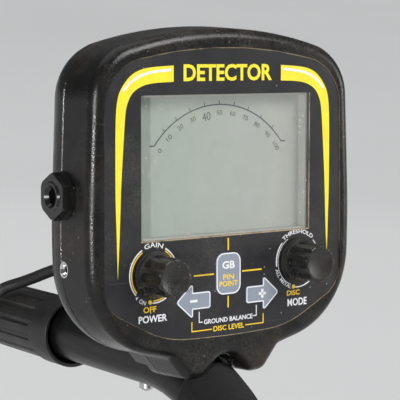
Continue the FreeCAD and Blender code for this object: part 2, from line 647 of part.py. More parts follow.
def spring_button(y, rod_r, inner_r):
    """Domed steel button that locks one tube in another, riveted to its leaf spring."""
    out, foot, t = rod_r + BUTTON_OUT, -0.5 * inner_r, 0.5
    pin = cylinder(BUTTON_R, V(0, y, foot), V(0, y, -out + 1.6))
    dome = Part.makeSphere(BUTTON_R + 0.35, V(0, y, -out + BUTTON_R + 0.35))
    dome = dome.common(cylinder(BUTTON_R, V(0, y, -out + 2.2), V(0, y, -out - 2)))
    rise = foot + 0.5 * inner_r + 0.2
    points = [V(-2.2, y + 3, foot), V(-2.2, y - 6, foot), V(-2.2, y - 30, rise), V(-2.2, y - 30, rise + t),
              V(-2.2, y - 6, foot + t), V(-2.2, y + 3, foot + t)]
    leaf = Part.Face(Part.makePolygon(points + [points[0]])).extrude(V(4.4, 0, 0))
    return joined([pin, dome, leaf])


def collar_sleeve(end_y, rod_r, inner_rod_r, size, length, ribs):
    """Flared sleeve fixed on the outer tube, which the locking nut screws on."""
    back, front = end_y - 33, end_y - 19
    ring = pipe_y(size + 0.2, size - 1.6, back, front)
    ring = ring.makeFillet(0.6, end_edges(ring, back))
    web = pipe_y(size - 1, rod_r + 0.02, front - 3, front)
    thread = pipe_y(rod_r + THREAD, rod_r + 0.02, front - 1, end_y + 6)
    return joined([ring, web, thread])


def locking_nut(end_y, rod_r, inner_rod_r, size, length, ribs):
    """Ribbed nut that squeezes the collet when it is turned."""
    start, end = end_y - 18.6, end_y - 18.6 + length
    nut = joined([along_y(size - 0.6, start, end - 10),
                  cone(size - 0.6, size - 3.4, V(0, end - 10.01, 0), V(0, end, 0))])
    for k in range(ribs):
        a = math.tau * (k + 0.5) / ribs
        x, z = (size + 0.5) * math.cos(a), (size + 0.5) * math.sin(a)
        nut = nut.cut(along_y(1.9, start + 3, end + 1, x, z))
    nut = nut.cut(along_y(rod_r + THREAD + SLIP, start - 1, end_y + 6.5))
    nut = nut.cut(along_y(inner_rod_r + 2.35, start, end_y + 18.5))
    return nut.cut(along_y(inner_rod_r + 0.25, start, end + 1))


def collet(end_y, outer_rod_r, rod_r, size, length, ribs):
    """Split ring that grips the inner tube."""
    ring = pipe_y(rod_r + 2.2, rod_r + SLIP, end_y + 7, end_y + 18)
    return ring.cut(box(-0.8, 0.8, end_y, end_y + 30, 0, 40))


THREAD = 1.3               # thickness of the collar's threaded sleeve
UPPER_LOCK = (FRONT_END, ROD_R, MID_R, 15.8, 58.0, 14)
LOWER_LOCK = (MID_END, MID_R, LOW_R, 14.6, 50.0, 12)
UPPER_SIZE, LOWER_SIZE = UPPER_LOCK[3], LOWER_LOCK[3]


# ---- coil, modelled about its hinge: X across, Y forward, Z up --------------------------------------------
def ellipse_face(a, b, z):
    """Elliptic face, longer along Y."""
    ellipse = Part.Ellipse(V(0, 0, z), b, a)
    edge = ellipse.toShape()
    edge.rotate(V(0, 0, z), V(0, 0, 1), 90)
    return Part.Face(Part.Wire(edge))


def ellipse_slab(a, b, z0, z1):
    return ellipse_face(a, b, z0).extrude(V(0, 0, z1 - z0))


def coil_windows(grow, z0, z1):
    """The four openings between the rim, the spine and the cross web."""
    hole = ellipse_slab(COIL_A - COIL_RIM + grow, COIL_B - COIL_RIM + grow, z0, z1)
    spine = box(-COIL_SPINE + grow, COIL_SPINE - grow, -200, 200, z0 - 1, z1 + 1)
    web = box(-200, 200, -COIL_WEB + grow, COIL_WEB - grow, z0 - 1, z1 + 1)
    hole = hole.cut(spine).cut(web)
    rounded = [e for e in hole.Edges if e.BoundBox.ZLength > (z1 - z0) - 0.01 and e.BoundBox.XLength < 0.01]
    return hole.makeFillet(7.0, rounded)


def coil_top():
    """Upper half of the coil's housing, with the two hinge ears."""
    slab = ellipse_slab(COIL_A, COIL_B, COIL_JOIN, COIL_TOP)
    slab = slab.cut(coil_windows(0, 0, 30))
    flat = [e for e in slab.Edges if e.BoundBox.ZLength < 1e-3]
    slab = slab.makeFillet(4.5, [e for e in flat if abs(e.BoundBox.ZMin - COIL_TOP) < 1e-3])
    groove = winding_space().extrude(V(0, 0, COIL_TOP - 3 - COIL_JOIN))
    slab = slab.cut(groove)
    ears = []
    for side in (-1, 1):
        inner = side * (TONGUE_HALF + WASHER_T)
        outer = side * (TONGUE_HALF + WASHER_T + EAR_T)
        x0, x1 = min(inner, outer), max(inner, outer)
        ear = joined([cylinder(EAR_R, V(x0, 0, HINGE_H), V(x1, 0, HINGE_H)),
                      box(x0, x1, -EAR_R, EAR_R, COIL_TOP - 2, HINGE_H)])
        foot = box(x0, x1, -24, 24, COIL_TOP - 2, COIL_TOP + 4)
        ears.append(joined([ear, foot]))
    slab = joined([slab] + ears)
    return slab.cut(cylinder(BOLT_R + 0.1, V(-40, 0, HINGE_H), V(40, 0, HINGE_H)))


def winding_space():
    """Plan of the channel that the windings lie in: inside the rim and down the spine."""
    ring = ellipse_face(COIL_A - 4, COIL_B - 4, COIL_JOIN - 0.01).cut(
        ellipse_face(COIL_A - COIL_RIM + 4, COIL_B - COIL_RIM + 4, COIL_JOIN - 0.01))
    corner = V(-COIL_SPINE + 4, -COIL_B + 16, COIL_JOIN - 0.01)
    spine = Part.makePlane(2 * COIL_SPINE - 8, 2 * (COIL_B - 16), corner)
    return ring.fuse(spine)


def coil_base():
    """Lower half of the coil's housing."""
    slab = ellipse_slab(COIL_A, COIL_B, COIL_SKID + 0.05, COIL_JOIN)
    return slab.cut(coil_windows(0, 0, 30))


def skid_plate():
    """Push-on cover that takes the wear under the coil."""
    slab = ellipse_slab(COIL_A, COIL_B, 0, COIL_SKID)
    slab = slab.cut(coil_windows(-0.8, -1, 30))
    low = [e for e in slab.Edges if abs(e.BoundBox.ZMin) < 1e-3 and abs(e.BoundBox.ZMax) < 1e-3]
    return slab.makeFillet(0.8, low)


def winding(side):
    """One D-shaped winding of the pair that overlaps along the spine."""
    z0, z1 = (COIL_JOIN + 0.05, COIL_JOIN + 4.4) if side < 0 else (COIL_JOIN + 4.5, COIL_JOIN + 8.8)
    outer = ellipse_slab(COIL_A - 9, COIL_B - 9, z0, z1)
    inner = ellipse_slab(COIL_A - 15, COIL_B - 15, z0, z1)
    over = 9.0
    keep = box(-200, over, -200, 200, z0, z1) if side < 0 else box(-over, 200, -200, 200, z0, z1)
    hollow = box(-200, over - 6, -200, 200, z0, z1) if side < 0 else box(-over + 6, 200, -200, 200, z0, z1)
    return outer.common(keep).cut(inner.common(hollow))


GLAND, GLAND_RISE = V(-24.0, -34.0, COIL_TOP + 6.0), math.radians(42)


def gland_point(along):
    """A point on the gland's axis, counted from its mouth."""
    return GLAND + V(0, -math.cos(GLAND_RISE), math.sin(GLAND_RISE)) * (22.0 + along)


def coil_gland():
    """Cable gland on the spine behind the left ear, with a tapered boot that points up and back."""
    block = box(GLAND.x - 6, GLAND.x + 6, GLAND.y - 8, GLAND.y + 9, COIL_TOP + 0.05, COIL_TOP + 10)
    block = block.makeFillet(2.0, [e for e in block.Edges if e.BoundBox.ZMin > COIL_TOP + 5])
    boot = cone(5.2, 3.3, gland_point(-20), gland_point(0))
    gland = joined([block, boot])
    return gland.cut(cylinder(CABLE_R + 0.05, gland_point(-4.2), gland_point(1)))


def coil_bolt():
    """Plastic hinge bolt with a round head."""
    edge = TONGUE_HALF + WASHER_T + EAR_T
    head = cylinder(8.2, V(-edge - 5.2, 0, HINGE_H), V(-edge - 0.1, 0, HINGE_H))
    head = head.makeFillet(1.5, [e for e in head.Edges if e.BoundBox.XMax < -edge - 5.1])
    shank = cylinder(BOLT_R, V(-edge - 0.2, 0, HINGE_H), V(edge + 11.5, 0, HINGE_H))
    return joined([head, shank])


def wing_nut():
    """Thumb nut with two wings."""
    edge = TONGUE_HALF + WASHER_T + EAR_T
    hub = cone(7.0, 5.4, V(edge + 0.1, 0, HINGE_H), V(edge + 9.5, 0, HINGE_H))
    corners = rectangle(0, HINGE_H, 28, 3.2, 1.5)
    wings = Part.Face(rounded_wire(corners, lambda u, v: V(edge + 1.5, u, v))).extrude(V(9.5, 0, 0))
    return joined([hub, wings]).cut(cylinder(BOLT_R + 0.05, V(0, 0, HINGE_H), V(60, 0, HINGE_H)))


def hinge_washers():
    """Two rubber washers that give the hinge its friction."""
    group = []
    for side in (-1, 1):
        a, b = side * (TONGUE_HALF + 0.03), side * (TONGUE_HALF + WASHER_T - 0.03)
        disc = cylinder(9.4, V(a, HINGE_Y, 0), V(b, HINGE_Y, 0))
        group.append(disc.cut(cylinder(BOLT_R + 0.1, V(-40, HINGE_Y, 0), V(40, HINGE_Y, 0))))
    return Part.makeCompound(group)


def rod_tongue():
    """End fitting of the lower rod, which goes between the coil's ears."""
    eye = cylinder(9.6, V(-TONGUE_HALF, HINGE_Y, 0), V(TONGUE_HALF, HINGE_Y, 0))
    neck = box(-TONGUE_HALF, TONGUE_HALF, HINGE_Y - 25.8, HINGE_Y, -8.6, 8.6)
    neck = neck.makeFillet(3.0, [e for e in neck.Edges if e.BoundBox.YLength > 20])
    plug = along_y(LOW_R - LOW_WALL - 0.02, HINGE_Y - 48, HINGE_Y - 25)
    return joined([eye, neck, plug]).cut(cylinder(BOLT_R + 0.1, V(-40, HINGE_Y, 0), V(40, HINGE_Y, 0)))


# ---- armrest ----------------------------------------------------------------------------------------------
ARM_FLOOR = ROD_R + 7.0     # the cradle's underside above the rear rod's axis
ARM_C = ARM_FLOOR + ARM_WALL + ARM_R


def trough(radius, wall_top, y0, y1):
    """A U section along Y: half a round with straight walls, centred over the rear rod."""
    c = REAR_Z + ARM_C
    round_part = along_y(radius, y0, y1, 0, c)
    walls = box(-radius, radius, y0, y1, c, c + wall_top)
    return round_part.fuse(walls)


ARM_BOLTS = [(x, y) for x in (-17, 17) for y in (ARM_Y - 22.0, ARM_Y + 22.0)]
BOLT_SEAT = REAR_Z + ARM_C - 44.2      # underside of the bolts' heads
BOLT_HEAD_R, BOLT_HEAD_H = 3.5, 2.2


def armrest_cradle():
    """Moulded cradle for the forearm, cut away towards both ends."""
    y0, y1 = ARM_Y - ARM_LEN / 2, ARM_Y + ARM_LEN / 2
    c = REAR_Z + ARM_C
    shell = trough(ARM_R + ARM_WALL, 22, y0, y1).cut(trough(ARM_R, 60, y0 - 1, y1 + 1))
    side = [(y0 + 4, c - 60, 5), (y1 - 4, c - 60, 5), (y1, c - 22, 30), (ARM_Y + 30, c + 21, 16),
            (ARM_Y - 30, c + 21, 16), (y0, c - 22, 30)]
    wire = rounded_wire(side, lambda u, v: V(-80, u, v))
    shell = shell.common(Part.Face(wire).extrude(V(160, 0, 0)))
    for x, y in ARM_BOLTS:
        shell = shell.cut(cylinder(2.2, V(x, y, REAR_Z), V(x, y, c)))
        shell = shell.cut(cylinder(3.7, V(x, y, BOLT_SEAT), V(x, y, c)))
    return shell


def armrest_pad():
    """Foam lining of the cradle."""
    y0, y1 = ARM_Y - ARM_LEN / 2 + 8, ARM_Y + ARM_LEN / 2 - 8
    c = REAR_Z + ARM_C
    pad = trough(ARM_R - 0.3, 0.1, y0, y1).cut(trough(ARM_R - 4.8, 60, y0 - 1, y1 + 1))
    for x, y in ARM_BOLTS:
        pad = pad.cut(cylinder(4.0, V(x, y, REAR_Z), V(x, y, BOLT_SEAT + BOLT_HEAD_H + 0.3)))
    return pad.common(box(-80, 80, y0, y1, c - 60, c - 12))


def armrest_block():
    """Block between the cradle and the rear rod, hollowed to fit both."""
    y0, y1 = ARM_Y - 34, ARM_Y + 34
    block = prism_y(rectangle(0, REAR_Z + 13, 46, 25.4, 3), y0, y1)
    block = block.cut(trough(ARM_R + ARM_WALL + 0.1, 60, y0 - 1, y1 + 1))
    block = block.cut(along_y(ROD_R + SLIP, y0 - 1, y1 + 1, 0, REAR_Z))
    return block.cut(arm_bolt_holes())


def armrest_stand():
    """Lower clamp half with the leg that stands on the ground."""
    y0, y1 = ARM_Y - 34, ARM_Y + 34
    clamp = prism_y(rectangle(0, REAR_Z - 9.8, 46, 18.4, 4), y0, y1)
    sole = REAR_Z - FOOT_DROP - 6
    leg = [(ARM_Y - 30, REAR_Z - 12, 2), (ARM_Y + 30, REAR_Z - 12, 2), (ARM_Y + 14, REAR_Z - 50, 12),
           (ARM_Y + 22, sole, 4), (ARM_Y - 34, sole, 4), (ARM_Y - 26, REAR_Z - 50, 12)]
    plate = Part.Face(rounded_wire(leg, lambda u, v: V(-4, u, v))).extrude(V(8, 0, 0))
    foot = box(-34, 34, ARM_Y - 34, ARM_Y + 22, REAR_Z - FOOT_DROP - 6, REAR_Z - FOOT_DROP + 8)
    foot = foot.makeFillet(5.0, [e for e in foot.Edges if e.BoundBox.ZLength > 5])
    stand = joined([clamp, plate, foot])
    stand = stand.cut(along_y(ROD_R + SLIP, y0 - 1, y1 + 1, 0, REAR_Z))
    return stand.cut(arm_bolt_holes())


def arm_bolt_holes():
    """Clearance holes for the four clamp bolts."""
    return joined([cylinder(2.15, V(x, y, REAR_Z - 17.2), V(x, y, REAR_Z + 60)) for x, y in ARM_BOLTS])


def armrest_bolts():
    """Four bolts that clamp the armrest on the rod."""
    group = []
    for x, y in ARM_BOLTS:
        head = cylinder(BOLT_HEAD_R, V(x, y, BOLT_SEAT), V(x, y, BOLT_SEAT + BOLT_HEAD_H))
        socket = cylinder(1.7, V(x, y, BOLT_SEAT + 0.9), V(x, y, BOLT_SEAT + BOLT_HEAD_H + 1))
        shank = cylinder(2.0, V(x, y, REAR_Z - 17), V(x, y, BOLT_SEAT + 0.5))
        group.append(joined([head, shank]).cut(socket))
    return Part.makeCompound(group)


# ---- the coil's lead --------------------------------------------------------------------------------------
TURN = 3 * HOLE_PITCH      # one turn round the rod for each three length holes, so it misses every hole
WRAP_TOP = 155.0           # where the turns start from the top of the rod
TIE_A, TIE_B = 424.0, 652.0
TIE_W, TIE_T = 8.0, 1.1
TIE_GAP = 0.15             # between the rod and the tied lead
TAIL_TURNS = 4.25          # turns from the top of the rod to the tie on the lower rod


def beside_rod(y, turns, radius):
    """A point beside the rod, the turns counted from the top towards the left."""
    return V(-radius * math.sin(math.tau * turns), y, radius * math.cos(math.tau * turns))


def ease(share):
    """A smooth step from 0 to 1."""
    share = min(1.0, max(0.0, share))
    return share * share * (3 - 2 * share)


def ramped(share, ramp):
    """Steady progress from 0 to 1 that starts and stops gently."""
    if share < ramp:
        return share * share / (2 * ramp) / (1 - ramp)
    if share > 1 - ramp:
        return 1 - (1 - share) ** 2 / (2 * ramp) / (1 - ramp)
    return (share - ramp / 2) / (1 - ramp)


def wrap_turns(y):
    """The lead's place round the rod: steady turns, straight at both ends."""
    gentle = 24.0
    first, last, steady = WRAP_TOP - gentle / 2, TIE_A - 7.0, y
    if y < first + gentle:
        steady = WRAP_TOP + max(0.0, y - first) ** 2 / (2 * gentle)
    if y > last - gentle:
        left = max(0.0, (last - y) / gentle)
        steady = last - gentle / 2 * (1 + left * left)
    return (steady - WRAP_TOP) / TURN


def wrap_radius(y):
    """The lead's distance from the rod's axis, closing in past the locking nut and again at the tie."""
    over, on, held = UPPER_SIZE + CABLE_R + 1.6, MID_R + CABLE_R + 1.15, MID_R + CABLE_R + TIE_GAP
    return over + (on - over) * ease((y - 186.0) / 26.0) + (held - on) * ease((y - TIE_A + 24.0) / 18.0)


def upper_lead_points():
    """From the plug's boot, over the upper nut and down the middle rod to its tie."""
    points = [V(0, BOOT_END - 14, PLUG_Z), V(0, BOOT_END + 22, PLUG_Z - 0.4),
              V(0.2, BOOT_END + 46, PLUG_Z - 5.8)]
    start, stop, count = WRAP_TOP, TIE_A - 4.0, 25
    points += [beside_rod(y, wrap_turns(y), wrap_radius(y))
               for y in (start + (stop - start) * k / count for k in range(count + 1))]
    points.append(beside_rod(TIE_A + 4, wrap_turns(TIE_A) + 0.002, MID_R + CABLE_R + TIE_GAP))
    return points


def slack_lead_points():
    """Loose turns over the lower nut, which let the lower rod slide."""
    first, near, far = wrap_turns(TIE_A) + 0.002, MID_R + CABLE_R + TIE_GAP, LOW_R + CABLE_R + TIE_GAP
    over, count, points = LOWER_SIZE + CABLE_R + 3.2, 21, []
    start, stop = TIE_A + 4.05, TIE_B - 14.0
    for k in range(count + 1):
        share = k / count
        radius = near + (over - near) * ease(share / 0.17) + (far - over) * ease((share - 0.58) / 0.4)
        turns = first + (TAIL_TURNS - first) * ramped(share, 0.22)
        points.append(beside_rod(start + (stop - start) * share, turns, radius))
    return points + [V(-far, TIE_B - TIE_W / 2 - 0.6, 0)]


def tail_lead_points():
    """From the tie on the lower rod, in a loose arch down to the coil's gland."""
    far = LOW_R + CABLE_R + TIE_GAP
    return [V(-far, TIE_B - TIE_W / 2 - 0.2, 0), V(-far, TIE_B + 6, 0), V(-far - 0.8, TIE_B + 18, 1.8),
            V(-far - 6.5, TIE_B + 35, 7.0), coil_to_rod(gland_point(30)), coil_to_rod(gland_point(-4))]


def rod_tie(y, rod_r, turns):
    """Strap round the rod and the lead beside it."""
    away = rod_r + CABLE_R + TIE_GAP
    c = beside_rod(y, turns, away)
    towards, layers = math.atan2(c.z, c.x), []
    for grow in (TIE_T, 0.05):
        big, small = rod_r + grow, CABLE_R + grow
        lean = math.acos((big - small) / away)
        quad = []
        ends = ((0, 0, big, 1), (c.x, c.z, small, 1), (c.x, c.z, small, -1), (0, 0, big, -1))
        for x, z, radius, sign in ends:
            a = towards + sign * lean
            quad.append(V(x + radius * math.cos(a), y - TIE_W / 2, z + radius * math.sin(a)))
        flat = Part.Face(Part.makePolygon(quad + [quad[0]])).extrude(V(0, TIE_W, 0))
        layers.append(joined([flat, along_y(big, y - TIE_W / 2, y + TIE_W / 2),
                              along_y(small, y - TIE_W / 2, y + TIE_W / 2, c.x, c.z)]))
    return layers[0].cut(layers[1])


def lead(name, points):
    """A stretch of lead along rounded straight runs; prints its length and its tightest bend."""
    wire, radii = rounded_path(points)
    solid = tube_along(wire, CABLE_R)
    expected = math.pi * CABLE_R ** 2 * wire.Length
    print(name, "length", round(wire.Length, 1), "tightest bend", round(min(radii), 1),
          "volume ratio", round(solid.Volume / expected, 4))
    return solid


# ---- placing and writing ----------------------------------------------------------------------------------
FOOT = V(0, ARM_Y - 6, REAR_Z - FOOT_DROP)
REACH, DROP = HINGE_Y - FOOT.y, -FOOT.z
TILT = math.atan2(DROP, REACH) - math.asin(HINGE_H / math.hypot(REACH, DROP))
GROUND = HINGE_H + HINGE_Y * math.sin(TILT)
HINGE_ROW_Y = HINGE_Y * math.cos(TILT)
REAR_ROW_Y = (REAR_END - 4) * math.cos(TILT) + (REAR_Z - ROD_R + 1.5) * math.sin(TILT)
FRONT_ROW_Y = HINGE_ROW_Y + COIL_B
SHIFT_Y = -(REAR_ROW_Y + FRONT_ROW_Y) / 2

FROM_ROD = FreeCAD.Placement(V(0, SHIFT_Y, GROUND), FreeCAD.Rotation(V(1, 0, 0), -math.degrees(TILT)))
FROM_COIL = FreeCAD.Placement(V(0, HINGE_ROW_Y + SHIFT_Y, 0), FreeCAD.Rotation())


def coil_to_rod(point):
    """A point of the coil, in the rod frame."""
    return FROM_ROD.inverse().multVec(FROM_COIL.multVec(point))


def on_ground(shape):
    """Cuts off whatever is below the ground."""
    return shape.cut(Part.makeBox(400, 1600, 60, V(-200, -800, -60)))


def build():
    """Every node's shape, by name: those in the rod frame first, then the coil's."""
    rod = {
        "upper_rod": upper_rod(), "foam_grip": foam_grip(), "rear_plug": rear_plug(),
        "front_shell": front_shell(), "rear_shell": rear_shell(), "head_screws": head_screws(),
        "printed_panel": printed_panel(), "display_window": display_window(), "display_frame": display_frame(),
        "display_glass": display_glass(), "main_board": main_board(), "board_parts": board_parts(),
        "controls": controls(), "control_nuts": pot_nuts(),
        "gain_knob": knob(-1), "gain_shaft": control_shaft(-1),
        "threshold_knob": knob(1), "threshold_shaft": control_shaft(1),
        "pinpoint_key": key("pinpoint"), "minus_key": key("minus"), "plus_key": key("plus"),
        "phone_socket": phone_socket(), "phone_nut": phone_nut(), "small_socket": small_socket(),
        "coil_socket": coil_socket(), "coil_plug": coil_plug(), "plug_ring": plug_ring(),
        "batteries": batteries(), "battery_door": battery_door(), "speaker": speaker(),
        "middle_rod": middle_rod(), "lower_rod": lower_rod(), "rod_tongue": rod_tongue(),
        "hinge_washers": hinge_washers(),
        "upper_collar": collar_sleeve(*UPPER_LOCK), "upper_nut": locking_nut(*UPPER_LOCK),
        "upper_collet": collet(*UPPER_LOCK), "lower_collar": collar_sleeve(*LOWER_LOCK),
        "lower_nut": locking_nut(*LOWER_LOCK), "lower_collet": collet(*LOWER_LOCK),
        "upper_button": spring_button(UPPER_BUTTON_Y, ROD_R, MID_R - MID_WALL),
        "lower_button": spring_button(LOWER_BUTTON_Y, MID_R, LOW_R - LOW_WALL),
        "armrest_cradle": armrest_cradle(), "armrest_pad": armrest_pad(), "armrest_block": armrest_block(),
        "armrest_stand": armrest_stand(), "armrest_bolts": armrest_bolts(),
        "lead_upper": lead("lead_upper", upper_lead_points()),
        "lead_slack": lead("lead_slack", slack_lead_points()),
        "lead_tail": lead("lead_tail", tail_lead_points()),
        "rod_tie": rod_tie(TIE_A, MID_R, wrap_turns(TIE_A)), "lower_tie": rod_tie(TIE_B, LOW_R, TAIL_TURNS),
    }
    coil = {"coil_top": coil_top(), "coil_base": coil_base(), "skid_plate": skid_plate(),
            "transmit_winding": winding(-1), "receive_winding": winding(1), "coil_gland": coil_gland(),
            "coil_bolt": coil_bolt(), "wing_nut": wing_nut()}
    return rod, coil


def main():
    os.makedirs("parts", exist_ok=True)
    rod, coil = build()
    for frame, shapes in ((FROM_ROD, rod), (FROM_COIL, coil)):
        for name, shape in shapes.items():
            placed = shape.copy()
            placed.Placement = frame.multiply(placed.Placement)
            if name == "armrest_stand":
                placed = on_ground(placed)
            if not placed.isValid() or not placed.Solids:
                print("CHECK", name, placed.isValid(), len(placed.Solids))
            placed.exportStep(os.path.join("parts", name + ".step"))
    print("tilt", round(math.degrees(TILT), 3), "ground", round(GROUND, 2), "shift", round(SHIFT_Y, 2))


main()
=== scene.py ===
import json
import math

import bmesh
import bpy
from mathutils import Matrix, Vector, noise


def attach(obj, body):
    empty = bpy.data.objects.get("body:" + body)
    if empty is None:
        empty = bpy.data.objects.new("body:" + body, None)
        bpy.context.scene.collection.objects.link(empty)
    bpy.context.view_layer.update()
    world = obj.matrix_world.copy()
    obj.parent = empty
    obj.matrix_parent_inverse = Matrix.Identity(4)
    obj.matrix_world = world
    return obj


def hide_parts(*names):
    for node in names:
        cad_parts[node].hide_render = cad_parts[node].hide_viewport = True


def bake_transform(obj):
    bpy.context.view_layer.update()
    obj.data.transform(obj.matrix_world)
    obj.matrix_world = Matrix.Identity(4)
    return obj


# Looks of the metal detector: materials, prints, foam, the coil's lead, stage, light and camera.
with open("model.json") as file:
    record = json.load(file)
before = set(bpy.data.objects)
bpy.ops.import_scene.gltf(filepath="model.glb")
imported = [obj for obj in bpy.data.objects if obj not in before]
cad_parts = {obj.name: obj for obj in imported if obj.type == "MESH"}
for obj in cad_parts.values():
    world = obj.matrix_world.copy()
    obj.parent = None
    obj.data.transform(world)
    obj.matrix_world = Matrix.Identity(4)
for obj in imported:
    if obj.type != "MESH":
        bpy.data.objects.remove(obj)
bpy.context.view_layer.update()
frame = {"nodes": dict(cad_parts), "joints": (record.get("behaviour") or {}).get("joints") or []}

MM = 0.001
NODES = frame["nodes"]
JOINTS = {j["name"]: j for j in frame["joints"]}

# ---- the rod's frame: X right, Y forward along the rod, Z up, from the panel's face on the rod's axis ----
KNOB_X, KNOB_Z = 35.3, 44.1      # the knobs' centres, beside and above the rod's axis
RIGHT = Vector((1, 0, 0))
FORWARD = Vector(JOINTS["gain_turn"]["axis"]).normalized()
UP = RIGHT.cross(FORWARD).normalized()
GAIN_AT = Vector(JOINTS["gain_turn"]["pos_m"])
THRESHOLD_AT = Vector(JOINTS["threshold_turn"]["pos_m"])
ORIGIN = (GAIN_AT + THRESHOLD_AT) / 2 - UP * KNOB_Z * MM
HINGE = Vector(JOINTS["coil_tilt"]["pos_m"])
PANEL_Z = 20.3                   # the panel's own zero height above the rod's axis
KEY_PROUD = 0.3                  # how far the keys stand out of the panel
LCD_DEPTH = 6.0                  # how far the display lies behind the panel
PRINT_SINK = 0.02                # how far a print's underside lies inside its face


def direction(x, y, z):
    """A direction given in the rod's frame."""
    return RIGHT * x + FORWARD * y + UP * z


def rod(x, y, z):
    """A point in the rod's frame, in millimetres."""
    return ORIGIN + direction(x, y, z) * MM


def panel(x, y, out=0.0):
    """A point on the panel: x right, y up, out towards the user."""
    return rod(x, -out, y + PANEL_Z)


# ---- materials ---------------------------------------------------------------------------------------
class Material:
    """A node material: a principled shader and helpers that add nodes to it."""

    def __init__(self, name, **constants):
        self.material = bpy.data.materials.new(name)
        self.material.use_nodes = True
        self.tree = self.material.node_tree
        self.shader = self.tree.nodes["Principled BSDF"]
        for socket, value in constants.items():
            self.shader.inputs[socket.replace("_", " ")].default_value = value
        self.place = self.add("TexCoord").outputs["Object"]

    def add(self, kind, **values):
        """A node of that kind; each value is a constant, or a socket to link from."""
        made = self.tree.nodes.new("ShaderNode" + kind)
        for key, value in values.items():
            if hasattr(made, key) and not isinstance(value, bpy.types.NodeSocket):
                setattr(made, key, value)
                continue
            index = int(key[1:]) if key[0] == "i" and key[1:].isdigit() else key.replace("_", " ")
            self.join(value, made.inputs[index])
        return made

    def join(self, value, socket):
        """Links the value to the socket if it is one, or sets it as a constant."""
        if isinstance(value, bpy.types.NodeSocket):
            self.tree.links.new(value, socket)
        else:
            socket.default_value = value

    def stretched(self, scale, turn=(0, 0, 0)):
        """The place, stretched, for lines and weaves."""
        return self.add("Mapping", Vector=self.place, Scale=scale, Rotation=turn).outputs[0]

    def noise(self, scale, detail=3.0, rough=0.55, place=None):
        """Soft noise from 0 to 1."""
        return self.add("TexNoise", Vector=place or self.place, Scale=scale, Detail=detail,
                        Roughness=rough).outputs[0]

    def cells(self, scale):
        """Distance to the nearest cell's centre, and the cell's random colour."""
        made = self.add("TexVoronoi", Vector=self.place, Scale=scale)
        return made.outputs["Distance"], made.outputs["Color"]

    def steps(self, value, low, high, start=0.0, stop=1.0):
        """The value, spread from low..high to start..stop and held there."""
        made = self.add("MapRange", Value=value, From_Min=low, From_Max=high, To_Min=start, To_Max=stop)
        return made.outputs[0]

    def maths(self, operation, a, b):
        return self.add("Math", operation=operation, i0=a, i1=b).outputs[0]

    def times(self, a, b):
        return self.maths("MULTIPLY", a, b)

    def plus(self, a, b):
        return self.maths("ADD", a, b)

    def blend(self, share, a, b):
        """Colour a, turned towards colour b by share."""
        made = self.add("Mix", data_type="RGBA")
        self.join(share, made.inputs[0])
        self.join(a, made.inputs[6])
        self.join(b, made.inputs[7])
        return made.outputs[2]

    def upward(self):
        """1 on faces that look up, 0 on those that look down."""
        normal = self.add("NewGeometry").outputs["Normal"]
        height = self.add("SeparateXYZ", Vector=normal).outputs["Z"]
        return self.steps(height, -0.8, 1.0)

    def edges(self, radius):
        """1 along sharp edges, where paint and polish wear off first."""
        bevel = self.add("Bevel", samples=4, Radius=radius).outputs[0]
        normal = self.add("NewGeometry").outputs["Normal"]
        same = self.add("VectorMath", operation="DOT_PRODUCT", i0=bevel, i1=normal).outputs["Value"]
        return self.steps(same, 0.98, 0.75)

    def specks(self, scale, size, share):
        """Small round specks on a share of the cells."""
        distance, colour = self.cells(scale)
        draw = self.add("SeparateXYZ", Vector=colour).outputs["X"]
        chosen = self.steps(draw, 1.0 - share, 1.0 - share + 0.01)
        return self.times(self.steps(distance, size, size * 0.6), chosen)

    def scratches(self, turn, amount=0.72):
        """Fine straight scratches, mostly along one direction."""
        fine = self.noise(1.0, 2.0, place=self.stretched((14, 14, 900), turn))
        where = self.noise(26.0, 2.0)
        return self.times(self.steps(fine, amount, amount + 0.06), self.steps(where, 0.45, 0.6))

    def finish(self, colour, roughness, bumps):
        """Links the colour and roughness, and bumps as (height, depth in metres, strength)."""
        self.join(colour, self.shader.inputs["Base Color"])
        self.join(roughness, self.shader.inputs["Roughness"])
        normal = None
        for height, depth, strength in bumps:
            made = self.add("Bump", Strength=strength, Distance=depth, Height=height)
            if normal is not None:
                self.join(normal, made.inputs["Normal"])
            normal = made.outputs[0]
        if normal is not None:
            self.join(normal, self.shader.inputs["Normal"])
        return self.material


def grey(level, warm=0.0):
    """A grey colour, which warm turns towards red."""
    return (level * (1 + warm), level, level * (1 - warm), 1)


DUST = (0.26, 0.235, 0.2, 1)
DIRT = (0.11, 0.075, 0.045, 1)


